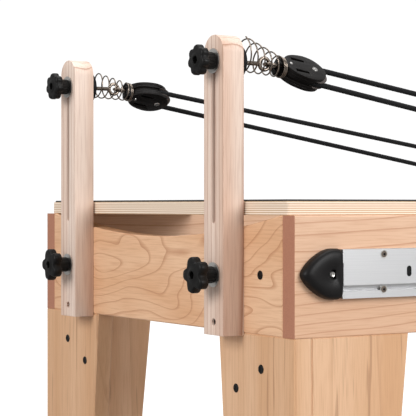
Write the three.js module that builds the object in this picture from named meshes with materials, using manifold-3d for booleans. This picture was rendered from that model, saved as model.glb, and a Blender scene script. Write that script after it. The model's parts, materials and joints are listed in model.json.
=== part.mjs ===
// A wooden Pilates reformer: a frame on four L-shaped legs, a sprung carriage that rolls between its rails,
// two pulley risers with ropes at the head end and a folding footbar at the foot end.
// Millimetres. +X runs from the head end to the foot end, +Y is the user's left, +Z is up.
import * as THREE from "three";
import { mergeVertices } from "three/addons/utils/BufferGeometryUtils.js";
import Module from "manifold-3d";

const wasm = await Module();
wasm.setup();

// ---------- driving dimensions ----------
// Frame
const frameLength = 2150;
const frameWidth = 700;
const frameTop = 450;
const railHeight = 154;
const boardThickness = 27;
const boardEdge = 1.5;
const scoopDepth = 31;
const scoopHalfWidth = 318;
// Legs
const legSideWidth = 182;
const legEndWidth = 177;
const legSideTaper = 0.098;
const legEndTaper = 0.087;
// Standing platforms
const plyThickness = 18;
const matThickness = 2.5;
const matInset = 2;
const platformOverhang = 17.7;
const platformSetback = 2.4;
const headPlatformLength = 260;
const footPlatformLength = 190;
// Outer footbar tracks and their end caps
const trackHeight = 62.7;
const trackDrop = 42.6;
const trackDepth = 12;
const trackStart = 67;
const capDepth = 15;
const capLength = 59.5;
const capCorner = 7;
const capOverlap = 1;
// Inner running rails
const runnerWall = 4;
const runnerWidth = 36;
const runnerHeight = 24;
const runnerBase = 70;
// Pulley risers
const riserOffset = 211;
const riserWidth = 48;
const riserDepth = 32;
const riserAboveFrame = 236.5;
const riserBelowFrame = 157.5;
const slotWidth = 7;
const slotBottom = -11;
const slotHeadroom = 34.5;
const dowelHole = 7;
const dowelDrop = 140;
const lowerKnobDrop = 78;
// Knobs
const washerRoom = 2.3;
const topKnob = { lobes: 7, radius: 20.5, lobeDepth: 1.6, head: 13, length: 27, hub: 11.5, socket: 5.5 };
const lowerKnob = { lobes: 5, radius: 24.5, lobeDepth: 3.6, head: 15, length: 32, hub: 11.2, socket: 5.5 };
// Pulley assemblies
const stemBelowSlotTop = { right: 0, left: 6.7 };
const stemRadius = 3;
const discRadius = 24;
const discThickness = 8;
const eyeRadius = 8;
const eyeWire = 2.5;
const eyeX = 48;
const shackleRadius = 9;
const shackleWire = 2;
const pivotX = 52;
const blockPitch = 9.2;
const blockRoll = { right: 45, left: 28 };
const blockThickness = 22;
const blockHalfWidth = 24.5;
const neckHalfWidth = 6;
const neckStart = 14;
const neckEnd = 24;
const blockShoulder = 60;
const noseHalfWidth = 7;
const sheaveReach = 74;
const cheekReach = 90;
const sheaveRadius = 22;
const sheaveThickness = 12;
const ropeRadius = 4;
const ropePitch = 17.5;
const runningGap = 0.3;
const grooveGap = 0.7;
const springTurns = 7.5;
const springStepsPerTurn = 8;
const springWire = 1.1;
const springBigRadius = 25;
const springSmallRadius = 15;
const springLift = 10;
// Carriage
const carriageStart = 1000;
const carriageLength = 650;
const deckSideGap = 38;
const deckClearance = 8;
const cheekBoard = 15;
const cheekBoardHeight = 66;
const wheelRadius = 22;
const wheelWidth = 18;
const axleRadius = 4;
const wheelInset = 60;
const padHeight = 45;
const padRound = 9;
const headrestWidth = 224;
const headrestLength = 213;
const headrestGap = 20;
const shoulderDepth = 85;
const shoulderWidth = 90;
const shoulderHeight = 124;
const shoulderInner = 130;
const loopWall = 3;
const loopHeight = 40;
const loopGap = 2;
const cleatLength = 45;
const cleatWidth = 24;
const cleatHeight = 22;
const ropeLoopGap = 7;
const ropeCleatGap = 1.2;
// Carriage springs
const springBarStart = 2000;
const springBarDepth = 24;
const springBarHeight = 38;
const carriageSpringRadius = 14;
const carriageSpringPitch = 80;
const carriageSpringCount = 4;
// Footbar
const footbarPivotX = 1900;
const footbarReach = 440;
const footbarTube = 16;
const footbarWall = 2;
const footbarAngle = 60;
const footbarCorner = 80;
const footbarTail = 18;
const sliderLength = 100;
const sliderDepth = 20;
const sliderHeight = 75;

// ---------- sizes worked out from them ----------
const halfWidth = frameWidth / 2;
const slotTop = riserAboveFrame - slotHeadroom;
const stemHeight = {
  right: slotTop - stemBelowSlotTop.right,
  left: slotTop - stemBelowSlotTop.left,
};
const innerHalf = halfWidth - boardThickness;
const deckWidth = 2 * (innerHalf - deckSideGap);
const railBottom = frameTop - railHeight;
const trackTop = frameTop - trackDrop;
const trackMiddle = trackTop - trackHeight / 2;
const deckBottom = frameTop + deckClearance;
const deckTop = deckBottom + plyThickness;
const runnerBottom = frameTop - runnerBase;
const axleHeight = runnerBottom + runnerWall + wheelRadius + runningGap;
const carriageEnd = carriageStart + carriageLength;
const headrestStart = carriageStart + 15;
const headrestEnd = headrestStart + headrestLength;
const padStart = headrestEnd + headrestGap;
const shoulderEnd = padStart - 2 * (loopGap + loopWall) - 1;
const shoulderStart = shoulderEnd - shoulderDepth;
const strandOffset = (side) => ropePitch * Math.cos(THREE.MathUtils.degToRad(blockRoll[side]));
const sliderOuter = halfWidth + trackDepth + 2 + sliderDepth;
const footbarHalf = sliderOuter + 2 + footbarTube;
const sides = [
  ["right", -1],
  ["left", 1],
];

// ---------- finishes ----------
const finish = (color, roughness, metalness = 0) =>
  new THREE.MeshStandardMaterial({ color, roughness, metalness });
const maple = () => finish(0xdcae82, 0.5);
const ash = () => finish(0xe3c7b3, 0.55);
const plywood = () => finish(0xe0cdb0, 0.6);
const rubberMat = () => finish(0x2b2a2a, 0.9);
const aluminium = () => finish(0xd4d4d4, 0.35, 1);
const blackPlastic = () => finish(0x1c1a1a, 0.55);
const steel = () => finish(0x9a9690, 0.3, 1);
const cord = () => finish(0x141414, 0.85);
const vinyl = () => finish(0x232325, 0.5);

// ---------- solids ----------
const root = new THREE.Group();

function add(name, geometry, material, position = [0, 0, 0], basis = null) {
  const mesh = new THREE.Mesh(geometry, material);
  mesh.name = name;
  if (basis) mesh.setRotationFromMatrix(basis);
  mesh.position.set(...position);
  root.add(mesh);
  return mesh;
}

const axisX = new THREE.Vector3(1, 0, 0);
const axisY = new THREE.Vector3(0, 1, 0);
const axisZ = new THREE.Vector3(0, 0, 1);
// A drawing's x and y laid along X and Z, thickness across Y
const sideways = new THREE.Matrix4().makeBasis(axisX, axisZ, axisY.clone().negate());
// A drawing's x and y laid along Y and Z, thickness along X
const endways = new THREE.Matrix4().makeBasis(axisY, axisZ, axisX);

function outline(points) {
  return new THREE.Shape(points.map(([x, y]) => new THREE.Vector2(x, y)));
}

function rectangle(x0, y0, x1, y1) {
  return outline([
    [x0, y0],
    [x1, y0],
    [x1, y1],
    [x0, y1],
  ]);
}

function roundedRectangle(halfX, halfY, radius) {
  const shape = new THREE.Shape();
  shape.absarc(halfX - radius, halfY - radius, radius, 0, Math.PI / 2);
  shape.absarc(radius - halfX, halfY - radius, radius, Math.PI / 2, Math.PI);
  shape.absarc(radius - halfX, radius - halfY, radius, Math.PI, 1.5 * Math.PI);
  shape.absarc(halfX - radius, radius - halfY, radius, 1.5 * Math.PI, 2 * Math.PI);
  return shape;
}

// A board or block of full thickness, centred on the drawing plane, with its edges eased
function slab(shape, thickness, edge = 0, edgeSteps = 1, curveSegments = 8) {
  const geometry = new THREE.ExtrudeGeometry(shape, {
    depth: thickness - 2 * edge,
    bevelEnabled: edge > 0,
    bevelThickness: edge,
    bevelSize: edge,
    bevelOffset: -edge,
    bevelSegments: edgeSteps,
    curveSegments,
  });
  return geometry.translate(0, 0, edge - thickness / 2);
}

// A plain turned piece whose profile of [radius, height] pairs runs along Z
function turned(profile, segments = 24) {
  const points = profile.map(([r, h]) => new THREE.Vector2(r, h));
  return new THREE.LatheGeometry(points, segments).rotateX(Math.PI / 2);
}

function toSolid(geometry) {
  const bare = geometry.index ? geometry.toNonIndexed() : geometry.clone();
  for (const key of Object.keys(bare.attributes)) {
    if (key !== "position") bare.deleteAttribute(key);
  }
  const merged = mergeVertices(bare, 1e-4);
  return new wasm.Manifold(
    new wasm.Mesh({
      numProp: 3,
      vertProperties: merged.attributes.position.array,
      triVerts: new Uint32Array(merged.index.array),
    }),
  );
}

function toGeometry(solid) {
  const mesh = solid.getMesh();
  const geometry = new THREE.BufferGeometry();
  geometry.setAttribute("position", new THREE.BufferAttribute(mesh.vertProperties, 3));
  geometry.setIndex(new THREE.BufferAttribute(mesh.triVerts, 1));
  geometry.computeVertexNormals();
  return geometry;
}

// ---------- frame ----------
function endBoardShape() {
  const shape = new THREE.Shape();
  shape.moveTo(-innerHalf, railBottom);
  shape.lineTo(innerHalf, railBottom);
  shape.lineTo(innerHalf, frameTop);
  shape.lineTo(scoopHalfWidth, frameTop);
  shape.quadraticCurveTo(0, frameTop - 2 * scoopDepth, -scoopHalfWidth, frameTop);
  shape.lineTo(-innerHalf, frameTop);
  return shape;
}

function buildFrame() {
  const railShape = rectangle(0, railBottom, frameLength, frameTop);
  for (const [side, sign] of sides) {
    const y = sign * (halfWidth - boardThickness / 2);
    add(`side_rail_${side}`, slab(railShape, boardThickness, boardEdge, 2), maple(), [0, y, 0], sideways);
  }
  const ends = [
    ["head", boardThickness / 2],
    ["foot", frameLength - boardThickness / 2],
  ];
  for (const [end, x] of ends) {
    add(`${end}_end_board`, slab(endBoardShape(), boardThickness, boardEdge, 1, 20), maple(), [x, 0, 0], endways);
  }
}

// Each leg is two tapered boards: the end board covers the corner and the side board butts against its back.
function buildLegs() {
  const sideShape = outline([
    [boardThickness, 0],
    [legSideWidth - legSideTaper * railBottom, 0],
    [legSideWidth, railBottom],
    [boardThickness, railBottom],
  ]);
  const endShape = outline([
    [0, 0],
    [legEndWidth - legEndTaper * railBottom, 0],
    [legEndWidth, railBottom],
    [0, railBottom],
  ]);
  for (const [side, sign] of sides) {
    for (const [end, x, direction] of [["head", 0, 1], ["foot", frameLength, -1]]) {
      const turn = new THREE.Group();
      turn.position.set(x, sign * halfWidth, 0);
      if (direction * sign > 0) turn.rotation.z = -direction * Math.PI / 2;
      else turn.rotation.z = direction > 0 ? 0 : Math.PI;
      const alongX = direction * sign < 0;
      const sideBoard = add(
        `leg_side_board_${end}_${side}`,
        slab(alongX ? sideShape : endShape, boardThickness, boardEdge),
        maple(),
        [0, boardThickness / 2, 0],
        sideways,
      );
      const endBoard = add(
        `leg_end_board_${end}_${side}`,
        slab(alongX ? endShape : sideShape, boardThickness, boardEdge),
        maple(),
        [boardThickness / 2, 0, 0],
        endways,
      );
      if (!alongX) {
        [sideBoard.name, endBoard.name] = [endBoard.name, sideBoard.name];
      }
      turn.add(sideBoard, endBoard);
      root.add(turn);
    }
  }
}

function buildPlatforms() {
  const halfY = halfWidth - platformOverhang;
  const platforms = [
    ["head_platform", headPlatformLength, platformSetback + headPlatformLength / 2],
    ["foot_platform", footPlatformLength, frameLength - platformSetback - footPlatformLength / 2],
  ];
  for (const [name, length, x] of platforms) {
    const board = slab(roundedRectangle(length / 2, halfY, 4), plyThickness, 0.8, 1, 3);
    add(name, board, plywood(), [x, 0, frameTop + plyThickness / 2]);
    if (name !== "head_platform") continue;
    const mat = slab(roundedRectangle(length / 2 - matInset, halfY - matInset, 4), matThickness, 0, 1, 3);
    add("head_platform_mat", mat, rubberMat(), [x, 0, frameTop + plyThickness + matThickness / 2]);
  }
}

// ---------- tracks ----------
// The section is drawn as distance out from the rail against height: a flange, a raised flat face,
// a groove and a lower lip.
function trackSection() {
  return outline([
    [0, 0],
    [10, 0],
    [10, 9.4],
    [6, 10],
    [trackDepth, 17],
    [trackDepth, trackHeight - 17.5],
    [trackDepth - 1.5, trackHeight - 18.5],
    [trackDepth - 1.5, trackHeight - 1],
    [trackDepth - 2.5, trackHeight],
    [0, trackHeight],
  ]);
}

function capShape() {
  const half = trackHeight / 2 + capOverlap;
  const shoulder = -capLength * 0.24;
  const shape = new THREE.Shape();
  shape.moveTo(0, capCorner - half);
  shape.lineTo(0, half - capCorner);
  shape.quadraticCurveTo(0, half, -capCorner, half);
  shape.lineTo(shoulder, half);
  shape.bezierCurveTo(-capLength * 0.54, half, -capLength, half * 0.31, -capLength, 0);
  shape.bezierCurveTo(-capLength, -half * 0.31, -capLength * 0.54, -half, shoulder, -half);
  shape.lineTo(-capCorner, -half);
  shape.quadraticCurveTo(0, -half, 0, capCorner - half);
  return shape;
}

function buildTracks() {
  const length = frameLength - 2 * trackStart;
  for (const [side, sign] of sides) {
    // The extrusion runs along X; the far side's section is the same one turned half round about Z
    const track = new THREE.Group();
    track.position.set(sign < 0 ? trackStart : frameLength - trackStart, sign * halfWidth, 0);
    track.rotation.z = sign < 0 ? 0 : Math.PI;
    const along = new THREE.Matrix4().makeBasis(axisY.clone().negate(), axisZ, axisX.clone().negate());
    const rail = add(
      `outer_track_${side}`,
      new THREE.ExtrudeGeometry(trackSection(), { depth: length, bevelEnabled: false }),
      aluminium(),
      [length, 0, trackTop - trackHeight],
      along,
    );
    track.add(rail);
    for (const [index, x, turn] of [[0, 0, 0], [1, length, Math.PI]]) {
      const end = (index === 0) === (sign < 0) ? "head" : "foot";
      const cap = add(
        `track_cap_${end}_${side}`,
        slab(capShape(), capDepth, 5, 2, 5),
        blackPlastic(),
        [x + (turn ? runningGap : -runningGap), -capDepth / 2, trackMiddle],
        sideways,
      );
      if (turn) cap.rotateY(turn);
      track.add(cap);
    }
    root.add(track);
  }
}

// Aluminium angle on the inner face of each side rail, which the carriage wheels run on
function buildRunners() {
  const section = outline([
    [0, 0],
    [runnerWidth, 0],
    [runnerWidth, runnerWall],
    [runnerWall, runnerWall],
    [runnerWall, runnerHeight],
    [0, runnerHeight],
  ]);
  const length = frameLength - 2 * boardThickness;
  for (const [side, sign] of sides) {
    const inward = axisY.clone().multiplyScalar(-sign);
    const along = inward.clone().cross(axisZ);
    const basis = new THREE.Matrix4().makeBasis(inward, axisZ, along);
    const x = along.x > 0 ? boardThickness : boardThickness + length;
    add(
      `running_rail_${side}`,
      new THREE.ExtrudeGeometry(section, { depth: length, bevelEnabled: false }),
      aluminium(),
      [x, sign * innerHalf, runnerBottom],
      basis,
    );
  }
  const barHalf = innerHalf - runnerWall - runningGap;
  const bar = slab(rectangle(-barHalf, 0, barHalf, springBarHeight), springBarDepth, boardEdge);
  add("spring_bar", bar, steel(), [springBarStart + springBarDepth / 2, 0, runnerBottom + 16], endways);
}

// ---------- risers and knobs ----------
function riserShape() {
  const half = riserWidth / 2;
  const slotHalf = slotWidth / 2;
  const shape = new THREE.Shape();
  shape.moveTo(-half, frameTop - riserBelowFrame);
  shape.lineTo(half, frameTop - riserBelowFrame);
  shape.absarc(0, frameTop + riserAboveFrame - half, half, 0, Math.PI);
  const slot = new THREE.Path();
  slot.absarc(0, frameTop + slotBottom + slotHalf, slotHalf, Math.PI, 2 * Math.PI);
  slot.absarc(0, frameTop + slotTop + runningGap, slotHalf, 0, Math.PI);
  shape.holes.push(slot);
  for (const [drop, radius] of [[lowerKnobDrop, stemRadius + runningGap], [dowelDrop, dowelHole / 2]]) {
    const hole = new THREE.Path();
    hole.absarc(0, frameTop - drop, radius, 0, 2 * Math.PI);
    shape.holes.push(hole);
  }
  return shape;
}

function knobHead(knob) {
  const shape = new THREE.Shape();
  const steps = knob.lobes * 6;
  for (let i = 0; i < steps; i += 1) {
    const angle = (2 * Math.PI * i) / steps;
    const wave = Math.cos(knob.lobes * angle);
    const radius = knob.radius - knob.lobeDepth * (1 - wave);
    const point = [radius * Math.cos(angle), radius * Math.sin(angle)];
    if (i === 0) shape.moveTo(...point);
    else shape.lineTo(...point);
  }
  const socket = new THREE.Path();
  socket.absarc(0, 0, knob.socket, 0, 2 * Math.PI);
  shape.holes.push(socket);
  return slab(shape, knob.head, 2, 1, 6).translate(0, 0, knob.head / 2);
}

// A moulded knob that points along -Z of its own drawing, with its face at 0 and its hub's end at its length
function knobGeometry(knob) {
  const hub = turned(
    [
      [0, knob.head - 4],
      [knob.hub, knob.head - 4],
      [knob.hub, knob.length],
      [0, knob.length],
    ],
    20,
  );
  return toGeometry(toSolid(knobHead(knob)).add(toSolid(hub)));
}

function buildRisersAndKnobs() {
  const back = -riserDepth;
  const riser = slab(riserShape(), riserDepth, 2, 1, 6);
  for (const [side, sign] of sides) {
    const y = sign * riserOffset;
    add(`riser_${side}`, riser.clone(), ash(), [-riserDepth / 2, y, 0], endways);
    const topX = back - washerRoom - topKnob.length;
    add(`top_knob_${side}`, knobGeometry(topKnob), blackPlastic(), [topX, y, frameTop + stemHeight[side]], endways);
    const lowerX = back - washerRoom - lowerKnob.length;
    add(`lower_knob_${side}`, knobGeometry(lowerKnob), blackPlastic(), [lowerX, y, frameTop - lowerKnobDrop], endways);
  }
}

// ---------- pulleys ----------
// Clamping bolt, rubber disc and eye in one: the bolt runs through the riser's slot from the top knob
function stemGeometry() {
  const start = -riserDepth - washerRoom + runningGap;
  const shaftEnd = eyeX - eyeRadius;
  const shaft = turned([
    [0, start],
    [stemRadius, start],
    [stemRadius, runningGap],
    [discRadius - 1, runningGap],
    [discRadius, runningGap + 1.5],
    [discRadius - 1.5, runningGap + discThickness * 0.6],
    [discRadius * 0.6, runningGap + discThickness - 0.6],
    [stemRadius + 3, runningGap + discThickness],
    [stemRadius, runningGap + discThickness],
    [stemRadius, shaftEnd],
    [0, shaftEnd],
  ], 16);
  const eye = new THREE.TorusGeometry(eyeRadius, eyeWire, 6, 14).rotateX(Math.PI / 2);
  const alongX = shaft.rotateY(Math.PI / 2);
  return toGeometry(toSolid(alongX).add(toSolid(eye.translate(eyeX, 0, 0))));
}

// The pulley block in its own frame: X from the swivel pin to the sheave, Z along the sheave's pin
function blockSolid() {
  const shape = new THREE.Shape();
  shape.moveTo(neckStart, -neckHalfWidth);
  shape.lineTo(neckEnd, -neckHalfWidth);
  shape.quadraticCurveTo(neckEnd + 8, -blockHalfWidth * 0.9, blockShoulder, -blockHalfWidth);
  shape.quadraticCurveTo(cheekReach - 8, -blockHalfWidth, cheekReach, -noseHalfWidth);
  shape.lineTo(cheekReach, noseHalfWidth);
  shape.quadraticCurveTo(cheekReach - 8, blockHalfWidth, blockShoulder, blockHalfWidth);
  shape.quadraticCurveTo(neckEnd + 8, blockHalfWidth * 0.9, neckEnd, neckHalfWidth);
  shape.lineTo(neckStart, neckHalfWidth);
  const cavity = new THREE.Shape();
  const room = ropePitch + ropeRadius + 1;
  cavity.moveTo(cheekReach + 10, -room);
  cavity.lineTo(cheekReach + 10, room);
  cavity.lineTo(sheaveReach, room);
  cavity.absarc(sheaveReach, 0, room, Math.PI / 2, 1.5 * Math.PI);
  const pinRadius = stemRadius;
  const pin = new THREE.CylinderGeometry(pinRadius, pinRadius, blockThickness - 2, 16);
  pin.rotateX(Math.PI / 2).translate(sheaveReach, 0, 0);
  const body = toSolid(slab(shape, blockThickness, 2, 1, 5));
  return body.subtract(toSolid(slab(cavity, sheaveThickness + 1, 0, 1, 8))).add(toSolid(pin));
}

function blockGeometry(roll) {
  const body = toGeometry(blockSolid()).rotateX(roll);
  const shackle = new THREE.TorusGeometry(shackleRadius, shackleWire, 6, 14);
  shackle.translate(shackleRadius - 2.5, 0, 0);
  return toGeometry(toSolid(body).add(toSolid(shackle)));
}

// The sheave's groove is a half round with room for a rope that leaves it a little askew
function sheaveGeometry() {
  const half = sheaveThickness / 2;
  const bore = stemRadius + runningGap;
  const groove = ropeRadius + grooveGap;
  const profile = [
    [bore, -half],
    [sheaveRadius, -half],
    [sheaveRadius, -groove],
  ];
  for (let i = 0; i <= 4; i += 1) {
    const angle = -Math.PI / 2 + (Math.PI * i) / 4;
    profile.push([ropePitch - groove * Math.cos(angle), groove * Math.sin(angle)]);
  }
  profile.push([sheaveRadius, groove], [sheaveRadius, half], [bore, half], [bore, -half]);
  return turned(profile, 20);
}

// Points joined by straight runs, with a section at each of them however far apart they are
class StraightRuns extends THREE.Curve {
  constructor(points) {
    super();
    this.points = points;
  }

  getPoint(t) {
    const place = t * (this.points.length - 1);
    const index = Math.min(Math.floor(place), this.points.length - 2);
    return this.points[index].clone().lerp(this.points[index + 1], place - index);
  }

  getUtoTmapping(u) {
    return u;
  }
}

function ring(path, radius, tubeSides) {
  for (let i = 0; i < tubeSides; i += 1) {
    const angle = (2 * Math.PI * i) / tubeSides;
    const point = [radius * Math.cos(angle), radius * Math.sin(angle)];
    if (i === 0) path.moveTo(...point);
    else path.lineTo(...point);
  }
  return path;
}

function tube(points, radius, tubeSides, wall = 0) {
  const section = ring(new THREE.Shape(), radius, tubeSides);
  if (wall > 0) section.holes.push(ring(new THREE.Path(), radius - wall, tubeSides));
  const run = new StraightRuns(points);
  return new THREE.ExtrudeGeometry(section, { steps: points.length - 1, extrudePath: run, bevelEnabled: false });
}

// One rope: from the cleat to the sheave, half round it and back over the cleat to the hand loop
function ropePoints(side, sign, sheaveFrame) {
  const upperEnd = new THREE.Vector3(
    shoulderStart - loopGap - loopWall - ropeLoopGap,
    sign * (riserOffset - strandOffset(side)),
    deckTop + loopHeight / 2,
  );
  const lowerEnd = new THREE.Vector3(
    carriageStart + 5,
    sign * (riserOffset + strandOffset(side)),
    deckTop + ropeRadius + 3,
  );
  const wrap = [];
  for (let i = 0; i <= 12; i += 1) {
    const angle = -Math.PI / 2 - (Math.PI * i) / 12;
    const point = new THREE.Vector3(
      sheaveReach + ropePitch * Math.cos(angle),
      ropePitch * Math.sin(angle),
      0,
    );
    wrap.push(point.applyMatrix4(sheaveFrame));
  }
  const fromUpper = sign < 0 ? wrap.reverse() : wrap;
  const first = upperEnd.clone().lerp(fromUpper[0], 0.5);
  const last = fromUpper[12].clone().lerp(lowerEnd, 0.5);
  return [upperEnd, first, ...fromUpper, last, lowerEnd];
}

function springPoints() {
  const points = [];
  const steps = springTurns * springStepsPerTurn;
  const start = discThickness + springWire + 2 * runningGap;
  const end = pivotX + neckEnd - 1;
  const endDrop = (end - pivotX) * Math.tan(THREE.MathUtils.degToRad(blockPitch));
  for (let i = 0; i <= steps; i += 1) {
    const share = i / steps;
    const angle = (2 * Math.PI * i) / springStepsPerTurn;
    const radius = THREE.MathUtils.lerp(springBigRadius, springSmallRadius, share ** 0.8);
    const x = THREE.MathUtils.lerp(start, end, share);
    const centreZ = THREE.MathUtils.lerp(springLift, -endDrop, share);
    points.push(new THREE.Vector3(x, radius * Math.sin(angle), radius * Math.cos(angle) + centreZ));
  }
  return points;
}

function buildPulleys() {
  for (const [side, sign] of sides) {
    const y = sign * riserOffset;
    const z = frameTop + stemHeight[side];
    const turn = THREE.MathUtils.degToRad(-sign * blockRoll[side]);
    add(`pulley_stem_${side}`, stemGeometry(), steel(), [0, y, z]);
    add(`pulley_spring_${side}`, tube(springPoints(), springWire, 6), steel(), [0, y, z]);

    const swing = new THREE.Group();
    swing.position.set(pivotX, y, z);
    swing.rotation.y = THREE.MathUtils.degToRad(blockPitch);
    swing.add(add(`pulley_block_${side}`, blockGeometry(turn), blackPlastic()));
    const roll = new THREE.Group();
    roll.rotation.x = turn;
    roll.add(add(`sheave_${side}`, sheaveGeometry(), blackPlastic(), [sheaveReach, 0, 0]));
    swing.add(roll);
    root.add(swing);

    root.updateMatrixWorld(true);
    const points = ropePoints(side, sign, roll.matrixWorld);
    add(`rope_${side}`, tube(points, ropeRadius, 8), cord());
  }
}

// ---------- carriage ----------
function carriageBoards() {
  const deck = rectangle(carriageStart, -deckWidth / 2, carriageEnd, deckWidth / 2);
  let body = toSolid(slab(deck, plyThickness, 0.8).translate(0, 0, deckBottom + plyThickness / 2));
  const boardTop = deckBottom + 1;
  const cheek = rectangle(carriageStart + 10, deckBottom - cheekBoardHeight, carriageEnd - 10, boardTop);
  const beam = new THREE.BoxGeometry(plyThickness, deckWidth - 2, cheekBoardHeight);
  beam.translate(carriageEnd - plyThickness, 0, boardTop - cheekBoardHeight / 2);
  body = body.add(toSolid(beam));
  for (const [, sign] of sides) {
    const board = slab(cheek, cheekBoard).applyMatrix4(sideways);
    body = body.add(toSolid(board.translate(0, sign * (deckWidth - cheekBoard) / 2, 0)));
    for (const x of [carriageStart + wheelInset, carriageEnd - wheelInset]) {
      const axle = new THREE.CylinderGeometry(axleRadius, axleRadius, wheelWidth + 4, 16);
      axle.translate(x, sign * (deckWidth / 2 + wheelWidth / 2), axleHeight);
      body = body.add(toSolid(axle));
    }
  }
  return toGeometry(body);
}

function wheelGeometry() {
  const half = wheelWidth / 2;
  const bore = axleRadius + runningGap;
  return turned(
    [
      [bore, -half],
      [wheelRadius - 2, -half],
      [wheelRadius, 2 - half],
      [wheelRadius, half - 2],
      [wheelRadius - 2, half],
      [bore, half],
      [bore, -half],
    ],
    18,
  ).rotateX(Math.PI / 2);
}

function cushion(lengthX, lengthY, height, round) {
  return slab(roundedRectangle(lengthX / 2, lengthY / 2, round + 8), height, round, 2, 3);
}

function buildCarriage() {
  add("carriage_deck", carriageBoards(), plywood());
  const wheelY = deckWidth / 2 + 2 + wheelWidth / 2;
  for (const [side, sign] of sides) {
    for (const [end, x] of [["head", carriageStart + wheelInset], ["foot", carriageEnd - wheelInset]]) {
      add(`carriage_wheel_${end}_${side}`, wheelGeometry(), blackPlastic(), [x, sign * wheelY, axleHeight]);
    }
  }
  const cushionZ = deckTop + runningGap + padHeight / 2;
  const padLength = carriageEnd - padStart;
  const pad = cushion(padLength, deckWidth - 10, padHeight, padRound);
  add("carriage_pad", pad, vinyl(), [padStart + padLength / 2, 0, cushionZ]);
  const headrest = cushion(headrestLength, headrestWidth, padHeight, padRound);
  add("headrest", headrest, vinyl(), [headrestStart + headrestLength / 2, 0, cushionZ]);
  for (const [side, sign] of sides) {
    const y = sign * (shoulderInner + shoulderWidth / 2);
    const x = shoulderStart + shoulderDepth / 2;
    const rest = cushion(shoulderDepth, shoulderWidth, shoulderHeight, padRound);
    add(`shoulder_rest_${side}`, rest, vinyl(), [x, y, deckTop + runningGap + shoulderHeight / 2]);

    const insideX = shoulderDepth / 2 + loopGap;
    const insideY = shoulderWidth / 2 + loopGap;
    const ring = roundedRectangle(insideX + loopWall, insideY + loopWall, padRound + 12);
    ring.holes.push(roundedRectangle(insideX, insideY, padRound + 9));
    const loop = slab(ring, loopHeight, 0, 1, 4);
    add(`hand_loop_${side}`, loop, finish(0x2a2a2c, 0.9), [x, y, deckTop + 4 + loopHeight / 2]);

    const cleat = slab(roundedRectangle(cleatLength / 2, cleatWidth / 2, 5), cleatHeight, 2, 1, 2);
    const cleatX = carriageStart + 5 + ropeCleatGap + cleatLength / 2;
    const cleatY = sign * (riserOffset + strandOffset(side));
    add(`rope_cleat_${side}`, cleat, blackPlastic(), [cleatX, cleatY, deckTop + runningGap + cleatHeight / 2]);
  }
}

function buildCarriageSprings() {
  const start = carriageEnd - plyThickness / 2 + runningGap;
  const length = springBarStart - runningGap - start;
  for (let i = 0; i < carriageSpringCount; i += 1) {
    const y = (i - (carriageSpringCount - 1) / 2) * carriageSpringPitch;
    const coil = new THREE.CylinderGeometry(carriageSpringRadius, carriageSpringRadius, length, 10);
    const name = `carriage_spring_${i + 1}`;
    add(name, coil.rotateZ(Math.PI / 2), steel(), [start + length / 2, y, runnerBottom + 35]);
  }
}

// ---------- footbar ----------
function footbarPath() {
  const lean = THREE.MathUtils.degToRad(footbarAngle);
  const at = (y, reach) =>
    new THREE.Vector3(
      footbarPivotX + reach * Math.cos(lean),
      y,
      trackMiddle + reach * Math.sin(lean),
    );
  const points = [at(-footbarHalf, -footbarTail)];
  for (const sign of [-1, 1]) {
    for (let i = 0; i <= 8; i += 1) {
      const angle = (Math.PI / 2) * (sign < 0 ? i / 8 : 1 - i / 8);
      const y = sign * (footbarHalf - footbarCorner * (1 - Math.cos(angle)));
      points.push(at(y, footbarReach - footbarCorner * (1 - Math.sin(angle))));
    }
  }
  points.push(at(footbarHalf, -footbarTail));
  return points;
}

function buildFootbar() {
  add("footbar", tube(footbarPath(), footbarTube, 12, footbarWall), steel());
  for (const [side, sign] of sides) {
    const shape = roundedRectangle(sliderLength / 2, sliderHeight / 2, 12);
    const y = sign * (sliderOuter - sliderDepth / 2);
    const slider = slab(shape, sliderDepth, 3, 1, 3);
    add(`footbar_slider_${side}`, slider, aluminium(), [footbarPivotX, y, trackMiddle], sideways);
  }
}

buildFrame();
buildLegs();
buildPlatforms();
buildTracks();
buildRunners();
buildRisersAndKnobs();
buildPulleys();
buildCarriage();
buildCarriageSprings();
buildFootbar();

// The origin is at the centre of the whole object's footprint, at floor level
const extent = new THREE.Box3().setFromObject(root);
const middle = extent.getCenter(new THREE.Vector3());
root.position.set(-middle.x, -middle.y, -extent.min.z);

export default root;
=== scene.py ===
import json
import math

import bmesh
import bpy
from mathutils import Matrix, Vector
from mathutils.geometry import tessellate_polygon


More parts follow.
